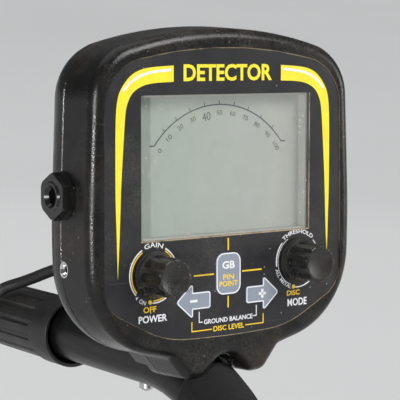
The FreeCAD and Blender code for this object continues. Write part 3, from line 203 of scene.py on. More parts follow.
def moulded(name, colour, alt, rough=0.45, dust=0.35, dirt=0.0, grain=0.00006, wear=0.35, scale=2600.0,
            marks=0.3, **more):
    """Moulded plastic: fine grain, blotches, dust on what looks up, worn edges, specks and light scuffs."""
    m = Material(name, **more)
    body = m.blend(m.noise(45.0, 5.0), colour, alt)
    worn = m.times(m.edges(0.0007), m.steps(m.noise(160.0, 3.0), 0.35, 0.7, 0.0, wear))
    body = m.blend(worn, body, grey(0.2, 0.05))
    patch = m.steps(m.noise(24.0, 6.0, 0.7), 0.42, 0.72)
    film = m.times(m.times(patch, m.steps(m.noise(900.0, 2.0), 0.3, 0.7)), m.upward())
    body = m.blend(m.times(film, dust), body, DUST)
    if dirt:
        low = m.times(m.steps(m.noise(38.0, 5.0, 0.7), 0.5, 0.68), dirt)
        body = m.blend(low, body, DIRT)
    lines = m.plus(m.scratches((0.3, 0.7, 0.2)), m.scratches((1.4, 0.2, 0.9)))
    body = m.blend(m.times(lines, marks), body, grey(0.24))
    body = m.blend(m.times(m.specks(420.0, 0.16, 0.12), 0.6), body, DUST)
    satin = m.steps(m.noise(70.0, 4.0), 0.3, 0.7, rough - 0.07, rough + 0.09)
    pits, waves = m.cells(scale)[0], m.noise(300.0, 3.0)
    return m.finish(body, m.plus(satin, m.times(film, 0.25)),
                    [(pits, grain, 0.55), (waves, 0.00004, 0.3), (lines, 0.00003, 0.4)])


def metal(name, colour, rough, tarnish=0.3):
    """Bare or plated metal with brushing, tarnish and small pits."""
    m = Material(name, Metallic=1.0)
    lines = m.noise(1.0, 3.0, place=m.stretched((900, 30, 30)))
    dull = m.steps(m.noise(220.0, 5.0, 0.7), 0.45, 0.7, 0.0, tarnish)
    body = m.blend(dull, colour, tuple(c * 0.45 for c in colour[:3]) + (1,))
    satin = m.steps(lines, 0.3, 0.7, rough - 0.05, rough + 0.08)
    return m.finish(body, m.plus(satin, m.times(dull, 0.4)),
                    [(lines, 0.00001, 0.35), (m.specks(700.0, 0.2, 0.1), 0.00003, 0.4)])


def anodised(name):
    """Satin black anodised tube: drawn lines along it, dust, rubbed patches and scratches."""
    m = Material(name, Metallic=0.35)
    drawn = m.noise(1.0, 2.0, place=m.stretched((420, 8, 420)))
    body = m.blend(m.noise(30.0, 4.0), grey(0.004), grey(0.009))
    body = m.blend(m.times(m.scratches((1.5, 0.2, 0.1)), 0.5), body, grey(0.3))
    film = m.times(m.steps(m.noise(50.0, 6.0, 0.7), 0.52, 0.75, 0.0, 0.1), m.upward())
    body = m.blend(film, body, DUST)
    roughness = m.plus(m.steps(drawn, 0.3, 0.7, 0.3, 0.4), film)
    return m.finish(body, roughness, [(drawn, 0.00001, 0.4), (m.cells(3200.0)[0], 0.00002, 0.25)])


def composite(name):
    """Glass-filled tube: faint woven pattern under a satin coat."""
    m = Material(name, Coat_Weight=0.25, Coat_Roughness=0.3)
    place = m.stretched((260, 260, 260), (0.6, 0.8, 0.3))
    weave = m.add("TexWave", Vector=place, Scale=1.0, Distortion=0.4, Detail=1.0).outputs[1]
    body = m.blend(weave, grey(0.011), grey(0.02))
    film = m.times(m.steps(m.noise(60.0, 6.0, 0.7), 0.5, 0.75, 0.0, 0.3), m.upward())
    body = m.blend(film, body, DUST)
    return m.finish(body, m.steps(m.noise(90.0, 4.0), 0.3, 0.7, 0.42, 0.56), [(weave, 0.00002, 0.35)])


def foam(name, colour, alt):
    """Closed-cell foam: two sizes of pores, painted shade in the pores, worn pale patches and lint."""
    m = Material(name, Sheen_Weight=0.08, Sheen_Roughness=0.6, Specular_IOR_Level=0.3)
    pores_and_shade, big = m.cells(1500.0)[0], m.cells(620.0)[0]
    body = m.blend(m.noise(70.0, 5.0), colour, alt)
    # painted shade: the pores are coloured darker, as if shaded inside
    body = m.blend(m.steps(pores_and_shade, 0.1, 0.35, 0.65, 0.0), body, grey(0.004))
    body = m.blend(m.times(m.steps(m.noise(40.0, 5.0, 0.7), 0.55, 0.75), 0.08), body, DUST)
    return m.finish(body, m.steps(m.noise(400.0, 3.0), 0.3, 0.7, 0.86, 0.98),
                    [(pores_and_shade, 0.00025, 0.7), (big, 0.0002, 0.45)])


def jacket(name):
    """Rubber jacket of the lead: satin, slightly dusty, with fine moulding lines."""
    m = Material(name)
    body = m.blend(m.noise(120.0, 5.0), grey(0.008), grey(0.017))
    film = m.steps(m.noise(80.0, 6.0, 0.7), 0.5, 0.72, 0.0, 0.3)
    body = m.blend(film, body, DUST)
    fine = m.noise(900.0, 2.0)
    return m.finish(body, m.steps(fine, 0.3, 0.7, 0.42, 0.58), [(fine, 0.00003, 0.4)])


def fabric(name):
    """Woven hook-and-loop strap."""
    m = Material(name, Sheen_Weight=0.4, Sheen_Roughness=0.5)
    place = m.stretched((900, 900, 900))
    across = m.add("TexWave", Vector=place, Scale=1.0, bands_direction="Y").outputs[1]
    along = m.add("TexWave", Vector=place, Scale=1.0, bands_direction="X").outputs[1]
    weave = m.times(across, along)
    body = m.blend(weave, grey(0.006), grey(0.03))
    body = m.blend(m.steps(m.noise(500.0, 4.0), 0.6, 0.75, 0.0, 0.4), body, DUST)
    return m.finish(body, m.steps(weave, 0.0, 1.0, 0.95, 0.8), [(weave, 0.0002, 0.7)])


def printed(name, colour, fade=0.16):
    """Screen-printed ink, slightly uneven and rubbed."""
    m = Material(name)
    tired = tuple(c * 0.72 for c in colour[:3]) + (1,)
    body = m.blend(m.steps(m.noise(210.0, 5.0, 0.7), 0.45, 0.75, 0.0, 0.55), colour, tired)
    body = m.blend(m.times(m.specks(900.0, 0.22, 0.1), fade), body, DUST)
    ink = m.noise(1600.0, 2.0)
    return m.finish(body, m.steps(ink, 0.3, 0.7, 0.4, 0.5), [(ink, 0.00001, 0.3)])


def label_film(name):
    """Printed film on the panel: charcoal, satin, with dust, lint and rubbed marks."""
    m = Material(name)
    body = m.blend(m.noise(34.0, 5.0, 0.6), (0.008, 0.008, 0.0095, 1), (0.015, 0.015, 0.0175, 1))
    haze = m.times(m.steps(m.noise(16.0, 6.0, 0.75), 0.45, 0.75), m.steps(m.noise(1300.0, 2.0), 0.3, 0.8))
    body = m.blend(m.times(haze, 0.3), body, DUST)
    lines = m.plus(m.scratches((0.2, 0.5, 0.1)), m.scratches((0.9, 1.3, 0.4), amount=0.7))
    body = m.blend(m.times(lines, 0.22), body, grey(0.3))
    body = m.blend(m.times(m.specks(330.0, 0.13, 0.16), 0.75), body, grey(0.34))
    body = m.blend(m.times(m.specks(120.0, 0.09, 0.2), 0.5), body, grey(0.4, 0.05))
    roughness = m.steps(m.noise(60.0, 5.0), 0.3, 0.7, 0.34, 0.5)
    return m.finish(body, roughness, [(m.cells(4200.0)[0], 0.00002, 0.35), (lines, 0.00002, 0.3)])


def dirt_line(name):
    """Dust packed in the groove round the film."""
    m = Material(name)
    broken = m.steps(m.noise(130.0, 4.0, 0.7), 0.3, 0.52)
    body = m.blend(broken, grey(0.03, 0.1), (0.42, 0.33, 0.2, 1))
    return m.finish(body, m.steps(broken, 0, 1, 0.6, 0.95), [(m.noise(2500.0, 3.0), 0.00006, 0.6)])


def crystal(name):
    """The display: pale grey-green, cloudy, with painted light that makes it a little lighter towards the
    right.
    """
    m = Material(name, Specular_IOR_Level=0.3)
    # painted light: the display is coloured lighter towards its right side
    side = m.steps(m.add("SeparateXYZ", Vector=m.place).outputs["X"], -0.04, 0.04)
    body = m.blend(side, (0.33, 0.385, 0.335, 1), (0.4, 0.42, 0.385, 1))
    body = m.blend(m.steps(m.noise(24.0, 4.0), 0.4, 0.7, 0.0, 0.3), body, (0.4, 0.43, 0.41, 1))
    fine = m.noise(2400.0, 1.0)
    return m.finish(body, m.steps(fine, 0.3, 0.7, 0.28, 0.4), [(fine, 0.000005, 0.2)])


def clear_window(name):
    """Acrylic window: nearly clear, with dust, lint and fine scratches."""
    m = Material(name, IOR=1.49)
    lines = m.plus(m.scratches((0.1, 0.9, 0.2), amount=0.7), m.scratches((0.8, 0.3, 1.1), amount=0.7))
    marks = m.plus(m.times(lines, 0.25), m.times(m.specks(300.0, 0.13, 0.3), 0.8))
    film = m.steps(m.noise(30.0, 6.0, 0.7), 0.4, 0.75, 0.03, 0.12)
    m.join(m.maths("MINIMUM", m.plus(marks, film), 0.9), m.shader.inputs["Alpha"])
    return m.finish((0.62, 0.62, 0.58, 1), m.steps(film, 0.0, 0.12, 0.1, 0.3), [(lines, 0.00001, 0.2)])


def circuit(name):
    """Solder mask with faint copper tracks."""
    m = Material(name)
    tracks = m.add("TexBrick", Vector=m.stretched((260, 260, 260)), Scale=1.0, Mortar_Size=0.03).outputs[1]
    body = m.blend(tracks, (0.01, 0.085, 0.03, 1), (0.05, 0.2, 0.08, 1))
    return m.finish(body, m.steps(m.noise(300.0), 0.3, 0.7, 0.3, 0.45), [(tracks, 0.00003, 0.5)])


def enamelled_wire(name):
    """Bundle of enamelled copper wire under lacquer."""
    m = Material(name, Metallic=0.8, Coat_Weight=0.4, Coat_Roughness=0.2)
    strands = m.add("TexWave", Vector=m.stretched((500, 500, 1500)), Scale=1.0, Distortion=1.0).outputs[1]
    body = m.blend(strands, (0.25, 0.07, 0.02, 1), (0.62, 0.27, 0.11, 1))
    return m.finish(body, m.steps(strands, 0, 1, 0.5, 0.3), [(strands, 0.0002, 0.6)])


def battery_wrap(name):
    """Printed wrap: dark body with a paler band at one end."""
    m = Material(name, Metallic=0.3)
    height = m.add("SeparateXYZ", Vector=m.place).outputs["Z"]
    middle = sum(c[2] for c in NODES["batteries"].bound_box) / 8
    band = m.steps(height, middle + 0.006, middle + 0.0065)
    body = m.blend(band, (0.02, 0.024, 0.03, 1), (0.42, 0.24, 0.06, 1))
    fine = m.noise(500.0, 3.0)
    return m.finish(body, m.steps(fine, 0.3, 0.7, 0.25, 0.4), [(fine, 0.00001, 0.3)])


SHELL = moulded("shell_plastic", grey(0.005), grey(0.009), 0.23, dust=0.3, dirt=0.16, grain=0.00008,
                wear=0.3, scale=1900.0, marks=0.12, Specular_IOR_Level=0.36)
PLAIN = moulded("black_plastic", grey(0.006), grey(0.011), 0.4, dust=0.25, dirt=0.04, scale=2200.0)
GLOSSY = moulded("black_gloss", grey(0.006), grey(0.01), 0.2, dust=0.15, grain=0.00001, wear=0.2,
                 marks=0.15)
KNOBS = moulded("knob_plastic", grey(0.007), grey(0.013), 0.27, dust=0.25, dirt=0.1, grain=0.00005,
                wear=0.5, scale=3000.0)
COIL = moulded("coil_plastic", grey(0.008), grey(0.015), 0.5, dust=0.35, dirt=0.12, grain=0.0001,
               wear=0.5, scale=1300.0)
SKID = moulded("skid_plastic", grey(0.012), grey(0.03), 0.6, dust=0.2, dirt=0.5, grain=0.0001, wear=0.8,
               marks=0.9)
KEYS = moulded("key_plastic", (0.235, 0.268, 0.33, 1), (0.275, 0.305, 0.36, 1), 0.45, dust=0.15,
               grain=0.00002, wear=0.1, scale=3600.0, marks=0.1)
PALE = moulded("frame_plastic", (0.4, 0.41, 0.38, 1), (0.48, 0.48, 0.45, 1), 0.45, dust=0.2, wear=0.0)
FILM = label_film("panel_print")
GROOVE = dirt_line("groove_dust")
LCD = crystal("display_grey")
WINDOW = clear_window("clear_window")
TUBE = anodised("rod_aluminium")
COMPOSITE = composite("rod_composite")
JACKET = jacket("lead_jacket")
STRAP = fabric("tie_strap")
FOAM = foam("foam", grey(0.005), grey(0.011))
STEEL = metal("steel", (0.6, 0.6, 0.59, 1), 0.26)
CHROME = metal("chrome_metal", (0.78, 0.78, 0.76, 1), 0.13, tarnish=0.2)
SATIN = metal("plug_metal", (0.3, 0.3, 0.31, 1), 0.34, tarnish=0.4)
POTS = metal("pot_metal", (0.5, 0.5, 0.47, 1), 0.35)
COPPER = enamelled_wire("copper_wire")
BOARD = circuit("board_green")
WRAP = battery_wrap("battery_wrap")
YELLOW = printed("yellow_ink", (0.95, 0.78, 0.03, 1))
GOLD = printed("golden_ink", (0.93, 0.62, 0.03, 1))
WHITE = printed("white_ink", (0.82, 0.83, 0.85, 1))
MARKS = printed("display_marks", (0.06, 0.075, 0.07, 1), fade=0.05)

NODE_MATERIALS = {
    "front_shell rear_shell battery_door": SHELL,
    "printed_panel": FILM,
    "display_window": WINDOW,
    "display_frame": PALE,
    "display_glass": LCD,
    "main_board": BOARD,
    "batteries": WRAP,
    "board_parts phone_socket phone_nut": GLOSSY,
    "controls control_nuts gain_shaft threshold_shaft speaker": POTS,
    "gain_knob threshold_knob": KNOBS,
    "pinpoint_key minus_key plus_key": KEYS,
    "small_socket coil_socket": CHROME,
    "plug_ring": SATIN,
    "coil_plug coil_gland upper_collar upper_nut lower_collar lower_nut upper_collet lower_collet": PLAIN,
    "rear_plug rod_tongue armrest_block armrest_stand armrest_cradle coil_bolt wing_nut": PLAIN,
    "coil_top coil_base": COIL,
    "skid_plate": SKID,
    "upper_rod middle_rod": TUBE,
    "lower_rod": COMPOSITE,
    "foam_grip armrest_pad hinge_washers": FOAM,
    "upper_button lower_button head_screws armrest_bolts": STEEL,
    "transmit_winding receive_winding": COPPER,
    "lead_upper lead_slack lead_tail": JACKET,
    "rod_tie lower_tie": STRAP}


def paint(obj, material):
    obj.data.materials.clear()
    obj.data.materials.append(material)


for names, material in NODE_MATERIALS.items():
    for name in names.split():
        paint(NODES[name], material)


# ---- printed marks -----------------------------------------------------------------------------------
class Print:
    """A group of flat marks in one colour, each a thin solid that stands on a face."""

    def __init__(self, name, material, body, base=0.0, thick=0.05, slot="panel_print"):
        self.name, self.material, self.body, self.slot = name, material, body, slot
        self.low, self.high = base - PRINT_SINK, base + thick
        self.mesh = bmesh.new()

    def vertex(self, x, y, level):
        return self.mesh.verts.new(panel(x, y, level))

    def solid(self, outline):
        """A closed outline as a thin solid."""
        low = [self.vertex(x, y, self.low) for x, y in outline]
        top = [self.vertex(x, y, self.high) for x, y in outline]
        self.mesh.faces.new(top)
        self.mesh.faces.new(low[::-1])
        for i in range(len(outline)):
            self.mesh.faces.new((low[i - 1], low[i], top[i], top[i - 1]))

    def line(self, points, width, closed=False):
        """A line of that width along points."""
        count = len(points)
        sides = ([], [])
        for i, (x, y) in enumerate(points):
            before = points[i - 1] if closed or i else points[i]
            after = points[(i + 1) % count] if closed or i < count - 1 else points[i]
            here = Vector((x, y))
            a = (here - Vector(before)).normalized() if tuple(before) != (x, y) else None
            b = (Vector(after) - here).normalized() if tuple(after) != (x, y) else None
            along = ((a or b) + (b or a)).normalized()
            across = Vector((-along.y, along.x))
            reach = width / 2 / max(0.35, along.dot(b or a))
            sides[0].append(here + across * reach)
            sides[1].append(here - across * reach)
        rings = []
        for left, right in zip(*sides):
            section = ((left, self.low), (right, self.low), (right, self.high), (left, self.high))
            rings.append([self.vertex(p.x, p.y, level) for p, level in section])
        for i in range(count if closed else count - 1):
            here, there = rings[i], rings[(i + 1) % count]
            for k in range(4):
                self.mesh.faces.new((here[k], here[(k + 1) % 4], there[(k + 1) % 4], there[k]))
        if not closed:
            self.mesh.faces.new(rings[0][::-1])
            self.mesh.faces.new(rings[-1])

    def arc(self, x, y, radius, start, stop, width):
        """A circular line between two angles in degrees."""
        steps = max(3, int(abs(stop - start) / 4))
        angles = [math.radians(start + (stop - start) * k / steps) for k in range(steps + 1)]
        self.line([(x + radius * math.cos(a), y + radius * math.sin(a)) for a in angles], width)

    def dot(self, x, y, radius):
        turns = [math.tau * k / 24 for k in range(24)]
        self.solid([(x + radius * math.cos(a), y + radius * math.sin(a)) for a in turns])

    def letters(self, text, bold, transform):
        """Lettering as thin solids; transform takes the text's unit box to the panel's x and y."""
        curve = bpy.data.curves.new(self.name + "_text", "FONT")
        curve.body, curve.size, curve.offset, curve.resolution_u = text, 1.0, bold, 3
        made = bpy.data.objects.new(self.name + "_text", curve)
        bpy.context.scene.collection.objects.link(made)
        bpy.context.view_layer.update()
        flat = bpy.data.meshes.new_from_object(made.evaluated_get(bpy.context.evaluated_depsgraph_get()))
        bpy.data.objects.remove(made)
        xs, ys = [v.co.x for v in flat.vertices], [v.co.y for v in flat.vertices]
        x0, x1, y0, y1 = min(xs), max(xs), min(ys), max(ys)
        spots = [transform((v.co.x - x0) / (x1 - x0), (v.co.y - y0) / (y1 - y0)) for v in flat.vertices]
        low = [self.vertex(x, y, self.low) for x, y in spots]
        top = [self.vertex(x, y, self.high) for x, y in spots]
        used = {}
        for face in flat.polygons:
            corners = list(face.vertices)
            self.mesh.faces.new([top[i] for i in corners])
            self.mesh.faces.new([low[i] for i in corners[::-1]])
            for i, j in zip(corners, corners[1:] + corners[:1]):
                used[(i, j)] = used.get((i, j), 0) + 1
        for i, j in used:
            if (j, i) not in used:
                self.mesh.faces.new((low[i], low[j], top[j], top[i]))
        bpy.data.meshes.remove(flat)

    def word(self, text, x0, x1, y0, y1, bold=0.012):
        """A word that fills a box."""
        self.letters(text, bold, lambda u, v: (x0 + (x1 - x0) * u, y0 + (y1 - y0) * v))

    def round_word(self, text, x, y, radius, middle, spread, height, bold=0.012, feet_in=True):
        """A word set round a circle, its middle at an angle in degrees, spread over an arc."""
        def bent(u, v):
            turn = -(u - 0.5) if feet_in else (u - 0.5)
            r = radius + (v - 0.5) * height * (1 if feet_in else -1)
            a = math.radians(middle + spread * turn)
            return x + r * math.cos(a), y + r * math.sin(a)
        self.letters(text, bold, bent)

    def done(self):
        """Makes the group's object, which rides on its body."""
        mesh = bpy.data.meshes.new(self.name)
        bmesh.ops.recalc_face_normals(self.mesh, faces=self.mesh.faces)
        self.mesh.to_mesh(mesh)
        self.mesh.free()
        made = bpy.data.objects.new(self.name, mesh)
        bpy.context.scene.collection.objects.link(made)
        paint(made, self.material)
        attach(made, self.body)
        return made


def rounded(corners, steps=6):
    """Points round a closed outline of corners (x, y, radius)."""
    points = []
    for i, (x, y, radius) in enumerate(corners):
        here = Vector((x, y))
        before = (Vector(corners[i - 1][:2]) - here).normalized()
        after = (Vector(corners[(i + 1) % len(corners)][:2]) - here).normalized()
        half = before.angle(after) / 2
        if radius <= 0 or half > math.pi / 2 - 1e-4:
            points.append((x, y))
            continue
        centre = here + (before + after).normalized() * (radius / math.sin(half))
        reach = radius / math.tan(half)
        start, stop = here + before * reach, here + after * reach
        a0 = math.atan2(start.y - centre.y, start.x - centre.x)
        sweep = math.atan2(stop.y - centre.y, stop.x - centre.x) - a0
        sweep = (sweep + math.pi) % math.tau - math.pi
        count = max(2, int(steps * abs(sweep) / 0.6) + 1)
        points += [(centre.x + radius * math.cos(a0 + sweep * k / count),
                    centre.y + radius * math.sin(a0 + sweep * k / count)) for k in range(count + 1)]
    return points


def smooth(points, steps=6):
    """A smooth line through points."""
    ends = [points[0]] + points + [points[-1]]
    made = []
    for i in range(1, len(ends) - 2):
        a, b, c, d = (Vector(p) for p in ends[i - 1:i + 3])
        for k in range(steps):
            t = k / steps
            square, cube = 2 * a - 5 * b + 4 * c - d, 3 * b - a - 3 * c + d
            p = 0.5 * (2 * b + (c - a) * t + square * t * t + cube * t ** 3)
            made.append((p.x, p.y))
    return made + [points[-1]]


# The film's right half, crown and foot, as corners (x, z, radius) in the rod's frame.
PANEL_HALF = [(57.3, 122.7, 20.0), (57.7, 70.0, 600.0), (57.8, 32.3, 13.0), (30.0, 17.6, 45.0)]
PANEL_CROWN, PANEL_FOOT = (0.0, 134.8, 200.0), (0.0, 16.6, 400.0)
# A corner stripe's outer edge, inner edge and painted highlight line, as (x, y) on the panel's right half.
STRIPE_OUT = [(26.1, 103.1), (35.6, 102.5), (41.3, 101.5), (45.9, 99.1), (49.9, 94.5), (51.6, 89.8),
              (52.3, 82.7), (52.5, 70.9), (52.5, 53.7), (52.1, 39.0), (51.7, 23.1)]
STRIPE_IN = [(50.8, 38.9), (50.2, 53.6), (49.8, 61.2), (48.8, 75.5), (48.0, 85.0), (46.8, 89.7),
             (44.2, 93.4), (39.6, 95.7), (33.9, 96.6), (26.1, 96.9)]
STRIPE_PAINTED_HIGHLIGHT = [(27.4, 101.5), (35.6, 100.7), (41.3, 99.3), (45.9, 96.7), (49.0, 93.6)]


def panel_outline():
    """The film's edge, in the panel's x and y."""
    corners = [PANEL_CROWN] + PANEL_HALF + [PANEL_FOOT] + [(-x, z, r) for x, z, r in reversed(PANEL_HALF)]
    return [(x, z - PANEL_Z) for x, z in rounded(corners)]


def stripes(ink, painted_highlight):
    """The curved corner stripes, tapering to a point beside the window, each with a thin white painted
    highlight along its upper edge.
    """
    for side in (-1, 1):
        outline = smooth(STRIPE_OUT) + smooth([STRIPE_OUT[-1]] + STRIPE_IN)[1:]
        pull = 0.03 if side > 0 else 0.0     # the right stripe lies a little closer in
        ink.solid([(side * (x - pull * (x - 26.0)), y) for x, y in outline])
        # a thin white line along the top of each stripe: painted highlight
        painted_highlight.line([(side * (x - pull * (x - 26.0)), y) for x, y in smooth(STRIPE_PAINTED_HIGHLIGHT)], 1.0)


def knob_rings(gold, white):
    """Rings, words and dots round both knobs; angles in degrees from the right, upwards."""
    y = KNOB_Z - PANEL_Z
    left, right = -KNOB_X - 0.1, KNOB_X + 0.1
    for start, stop in ((119, 222), (267, 421)):
        white.arc(left, y, 11.0, start, stop, 0.55)
        gold.arc(left, y, 10.15, start + 2, stop - 2, 0.5)
    white.round_word("GAIN", left, y, 11.4, 90, 44, 1.9)
    white.round_word("ON", left, y, 11.5, 243, 16, 1.7, feet_in=False)
    white.solid([(left - 8.3, y - 8.2), (left - 7.1, y - 8.0), (left - 7.9, y - 9.2)])
    gold.dot(left - 1.7, y - 10.6, 0.85)
    gold.word("OFF", -40.2, -34.3, 9.3, 11.6, 0.02)
    white.word("POWER", -42.4, -29.3, 5.4, 8.2, 0.022)
    for start, stop in ((137, 190), (264, 404)):
        white.arc(right, y, 11.1, start, stop, 0.5)
    white.arc(right, y, 10.3, 120, 250, 0.22)
    white.round_word("THRESHOLD", right, y, 11.8, 90, 82, 1.7, 0.018)
    white.round_word("ALL METAL", right, y, 11.3, 224, 58, 1.45, feet_in=False)
    gold.dot(right - 2.1, y - 10.8, 0.85)
    gold.word("DISC", 29.9, 36.5, 9.5, 11.6, 0.02)
    white.word("MODE", 30.2, 40.3, 5.1, 8.2, 0.022)


def key_guides(gold, white):
    """Lines from the middle key and the brackets under the arrow keys."""
    for side in (-1, 1):
        gold.line([(side * 6.95, 21.6), (side * 16.7, 21.6)], 0.6)
        white.line([(side * 14.1, 7.3), (side * 14.1, 3.1), (side * 12.5, 3.1)], 0.38)
    gold.line([(0, 30.5), (0, 35.3)], 0.6)
    gold.line([(0, 7.7), (0, 12.3)], 0.6)
    white.word("GROUND BALANCE", -11.8, 12.2, 2.1, 4.0, 0.02)
    gold.line([(-17.6, 3.6), (-17.6, -0.2), (-7.9, -0.2)], 0.42)
    gold.line([(17.6, 3.6), (17.6, -0.2), (8.6, -0.2)], 0.42)
    gold.word("DISC LEVEL", -7.2, 8.0, -1.2, 0.9, 0.02)


SQUARE = ((-1, -1), (1, -1), (1, 1), (-1, 1))


def key_prints():
    """Outlines and marks on the three keys."""
    inset, y = 0.35, 11.8
    made = Print("pinpoint_key_lines", WHITE, "pinpoint", KEY_PROUD, slot="key_plastic")
    corners = [(sx * (6.0 - inset), 21.3 + sy * (8.3 - inset), 3.3) for sx, sy in SQUARE]
    made.line(rounded(corners), 0.5, closed=True)
    made.word("GB", -3.1, 3.0, 23.2, 26.3, 0.03)
    made.done()
    made = Print("pinpoint_key_words", GOLD, "pinpoint", KEY_PROUD, slot="key_plastic")
    made.word("PIN", -2.7, 2.7, 18.9, 21.1, 0.02)
    made.word("POINT", -4.5, 4.5, 16.2, 18.4, 0.02)
    made.done()
    for side, name in ((-1, "minus"), (1, "plus")):
        made = Print(name + "_key_lines", WHITE, name, KEY_PROUD, slot="key_plastic")
        corners = [(8.8 + inset, 3.4 - inset, 0.8), (17.2 + inset, 3.4 - inset, 0.4),
                   (17.2 + inset, 7.2 - 1.6 * inset, 0.5), (25.4 - 1.4 * inset, 0, 1.0),
                   (17.2 + inset, -7.2 + 1.6 * inset, 0.5), (17.2 + inset, -3.4 + inset, 0.4),
                   (8.8 + inset, -3.4 + inset, 0.8)]
        made.line([(side * x, y + v) for x, v in rounded(corners)], 0.45, closed=True)
        bars = [(1.75, 0.5), (0.55, 1.8)] if side > 0 else [(1.75, 0.5)]
        for wide, high in bars:
            made.solid([(side * 16.9 + sx * wide, y + sy * high) for sx, sy in SQUARE])
        made.done()


def display_marks():
    """The display's scale: an arc with outward ticks and a number inside each."""
    cy, radius, half = 48.6, 39.1, 52.6
    made = Print("display_scale", MARKS, "head", -LCD_DEPTH, thick=0.04, slot="display_grey")
    made.arc(0, cy, radius, 90 + half, 90 - half, 0.5)
    for k in range(11):
        angle = 90 + half - 2 * half * k / 10
        a = math.radians(angle)
        c, s = math.cos(a), math.sin(a)
        end = k in (0, 10)
        reach = 1.9 if end else 1.5
        tip = (radius * c + math.copysign(2.1, c), cy + radius * s - 0.1) if end else (
            (radius + reach) * c, cy + (radius + reach) * s)
        made.line([(radius * c, cy + radius * s), tip], 0.55 if end else 0.38)
        big = k == 4
        height, inner = (3.3, 35.0) if big else (1.9, 35.9)
        spread = (2.5 if k == 0 else 6.2 if k == 10 else 4.3) * (1.55 if big else 1.0)
        made.round_word(str(10 * k), 0, cy, inner, angle, spread, height, 0.0)
    made.done()


def panel_prints():
    """Everything printed on the panel, a painted highlight on each stripe, and the dust in its two grooves.
    """
    yellow = Print("panel_yellow", YELLOW, "head")
    gold = Print("panel_gold", GOLD, "head")
    white = Print("panel_white", WHITE, "head")
    # white lines on the stripes that stand in for their shine: painted highlight
    painted_highlight = Print("stripe_painted_highlight", WHITE, "head", base=0.05, thick=0.03)
    stripes(yellow, painted_highlight)
    knob_rings(gold, white)
    key_guides(gold, white)
    yellow.word("DETECTOR", -21.5, 21.5, 97.0, 103.6, 0.03)
    for group in (yellow, gold, white, painted_highlight):
        group.done()
    groove = Print("panel_groove", GROOVE, "head", base=-0.05, thick=0.1)
    groove.line(panel_outline(), 0.4, closed=True)
    groove.done()
    sill = Print("window_groove", GROOVE, "head", base=-0.04, thick=0.09)
    sill.line([(-41.1, 36.45), (41.1, 36.45)], 0.5)
    sill.line([(41.1, 36.45), (41.1, 91.9)], 0.3)
    sill.done()


# ---- soft pieces -------------------------------------------------------------------------------------
def add_mesh(name, verts, faces, material):
    """A smooth-shaded mesh object."""
    mesh = bpy.data.meshes.new(name)
    mesh.from_pydata(verts, [], faces)
    mesh.validate()
    made = bpy.data.objects.new(name, mesh)
    bpy.context.scene.collection.objects.link(made)
    paint(made, material)
    mesh.polygons.foreach_set("use_smooth", [True] * len(mesh.polygons))
    return made


# The upper rod's two bends: their angle, where the first one starts, their radii and the run between.
BEND_ANGLE = math.radians(60)
BEND1_Y, BEND1_R, GRIP_RUN, BEND2_R = 52.0, 86.0, 58.0, 70.0
ROD_R, GRIP_R = 12.5, 14.6
GRIP_FROM, GRIP_TO = math.radians(24.5), math.radians(30)    # the rod's slope at the grip's ends
GRIP_STEP = 1.2          # the distance between the sleeve's rings
GRIP_LIP = 3.0           # the length of the grip's rounded ends
FOAM_GAP = 0.04          # the foam stands this far off the rod where its lips end


def grip_line():
    """The grip's centre line as (y, z, angle of the rod) in the rod's frame, from its front end."""
    y1, z1 = BEND1_Y - BEND1_R * math.sin(BEND_ANGLE), -BEND1_R * (1 - math.cos(BEND_ANGLE))
    y2, z2 = y1 - GRIP_RUN * math.cos(BEND_ANGLE), z1 - GRIP_RUN * math.sin(BEND_ANGLE)
    cy, cz = y2 - BEND2_R * math.sin(BEND_ANGLE), z2 + BEND2_R * math.cos(BEND_ANGLE)
    first, last = BEND1_R * (BEND_ANGLE - GRIP_FROM), BEND2_R * (BEND_ANGLE - GRIP_TO)
    total, made = first + GRIP_RUN + last, []
    count = int(total / GRIP_STEP)
    for k in range(count + 1):
        s = total * k / count
        if s < first:
            a = GRIP_FROM + s / BEND1_R
            made.append((BEND1_Y - BEND1_R * math.sin(a), -BEND1_R * (1 - math.cos(a)), a))
        elif s < first + GRIP_RUN:
            t = s - first
            made.append((y1 - t * math.cos(BEND_ANGLE), z1 - t * math.sin(BEND_ANGLE), BEND_ANGLE))
        else:
            a = BEND_ANGLE - (s - first - GRIP_RUN) / BEND2_R
            made.append((cy + BEND2_R * math.sin(a), cz - BEND2_R * math.cos(a), a))
    return made, total


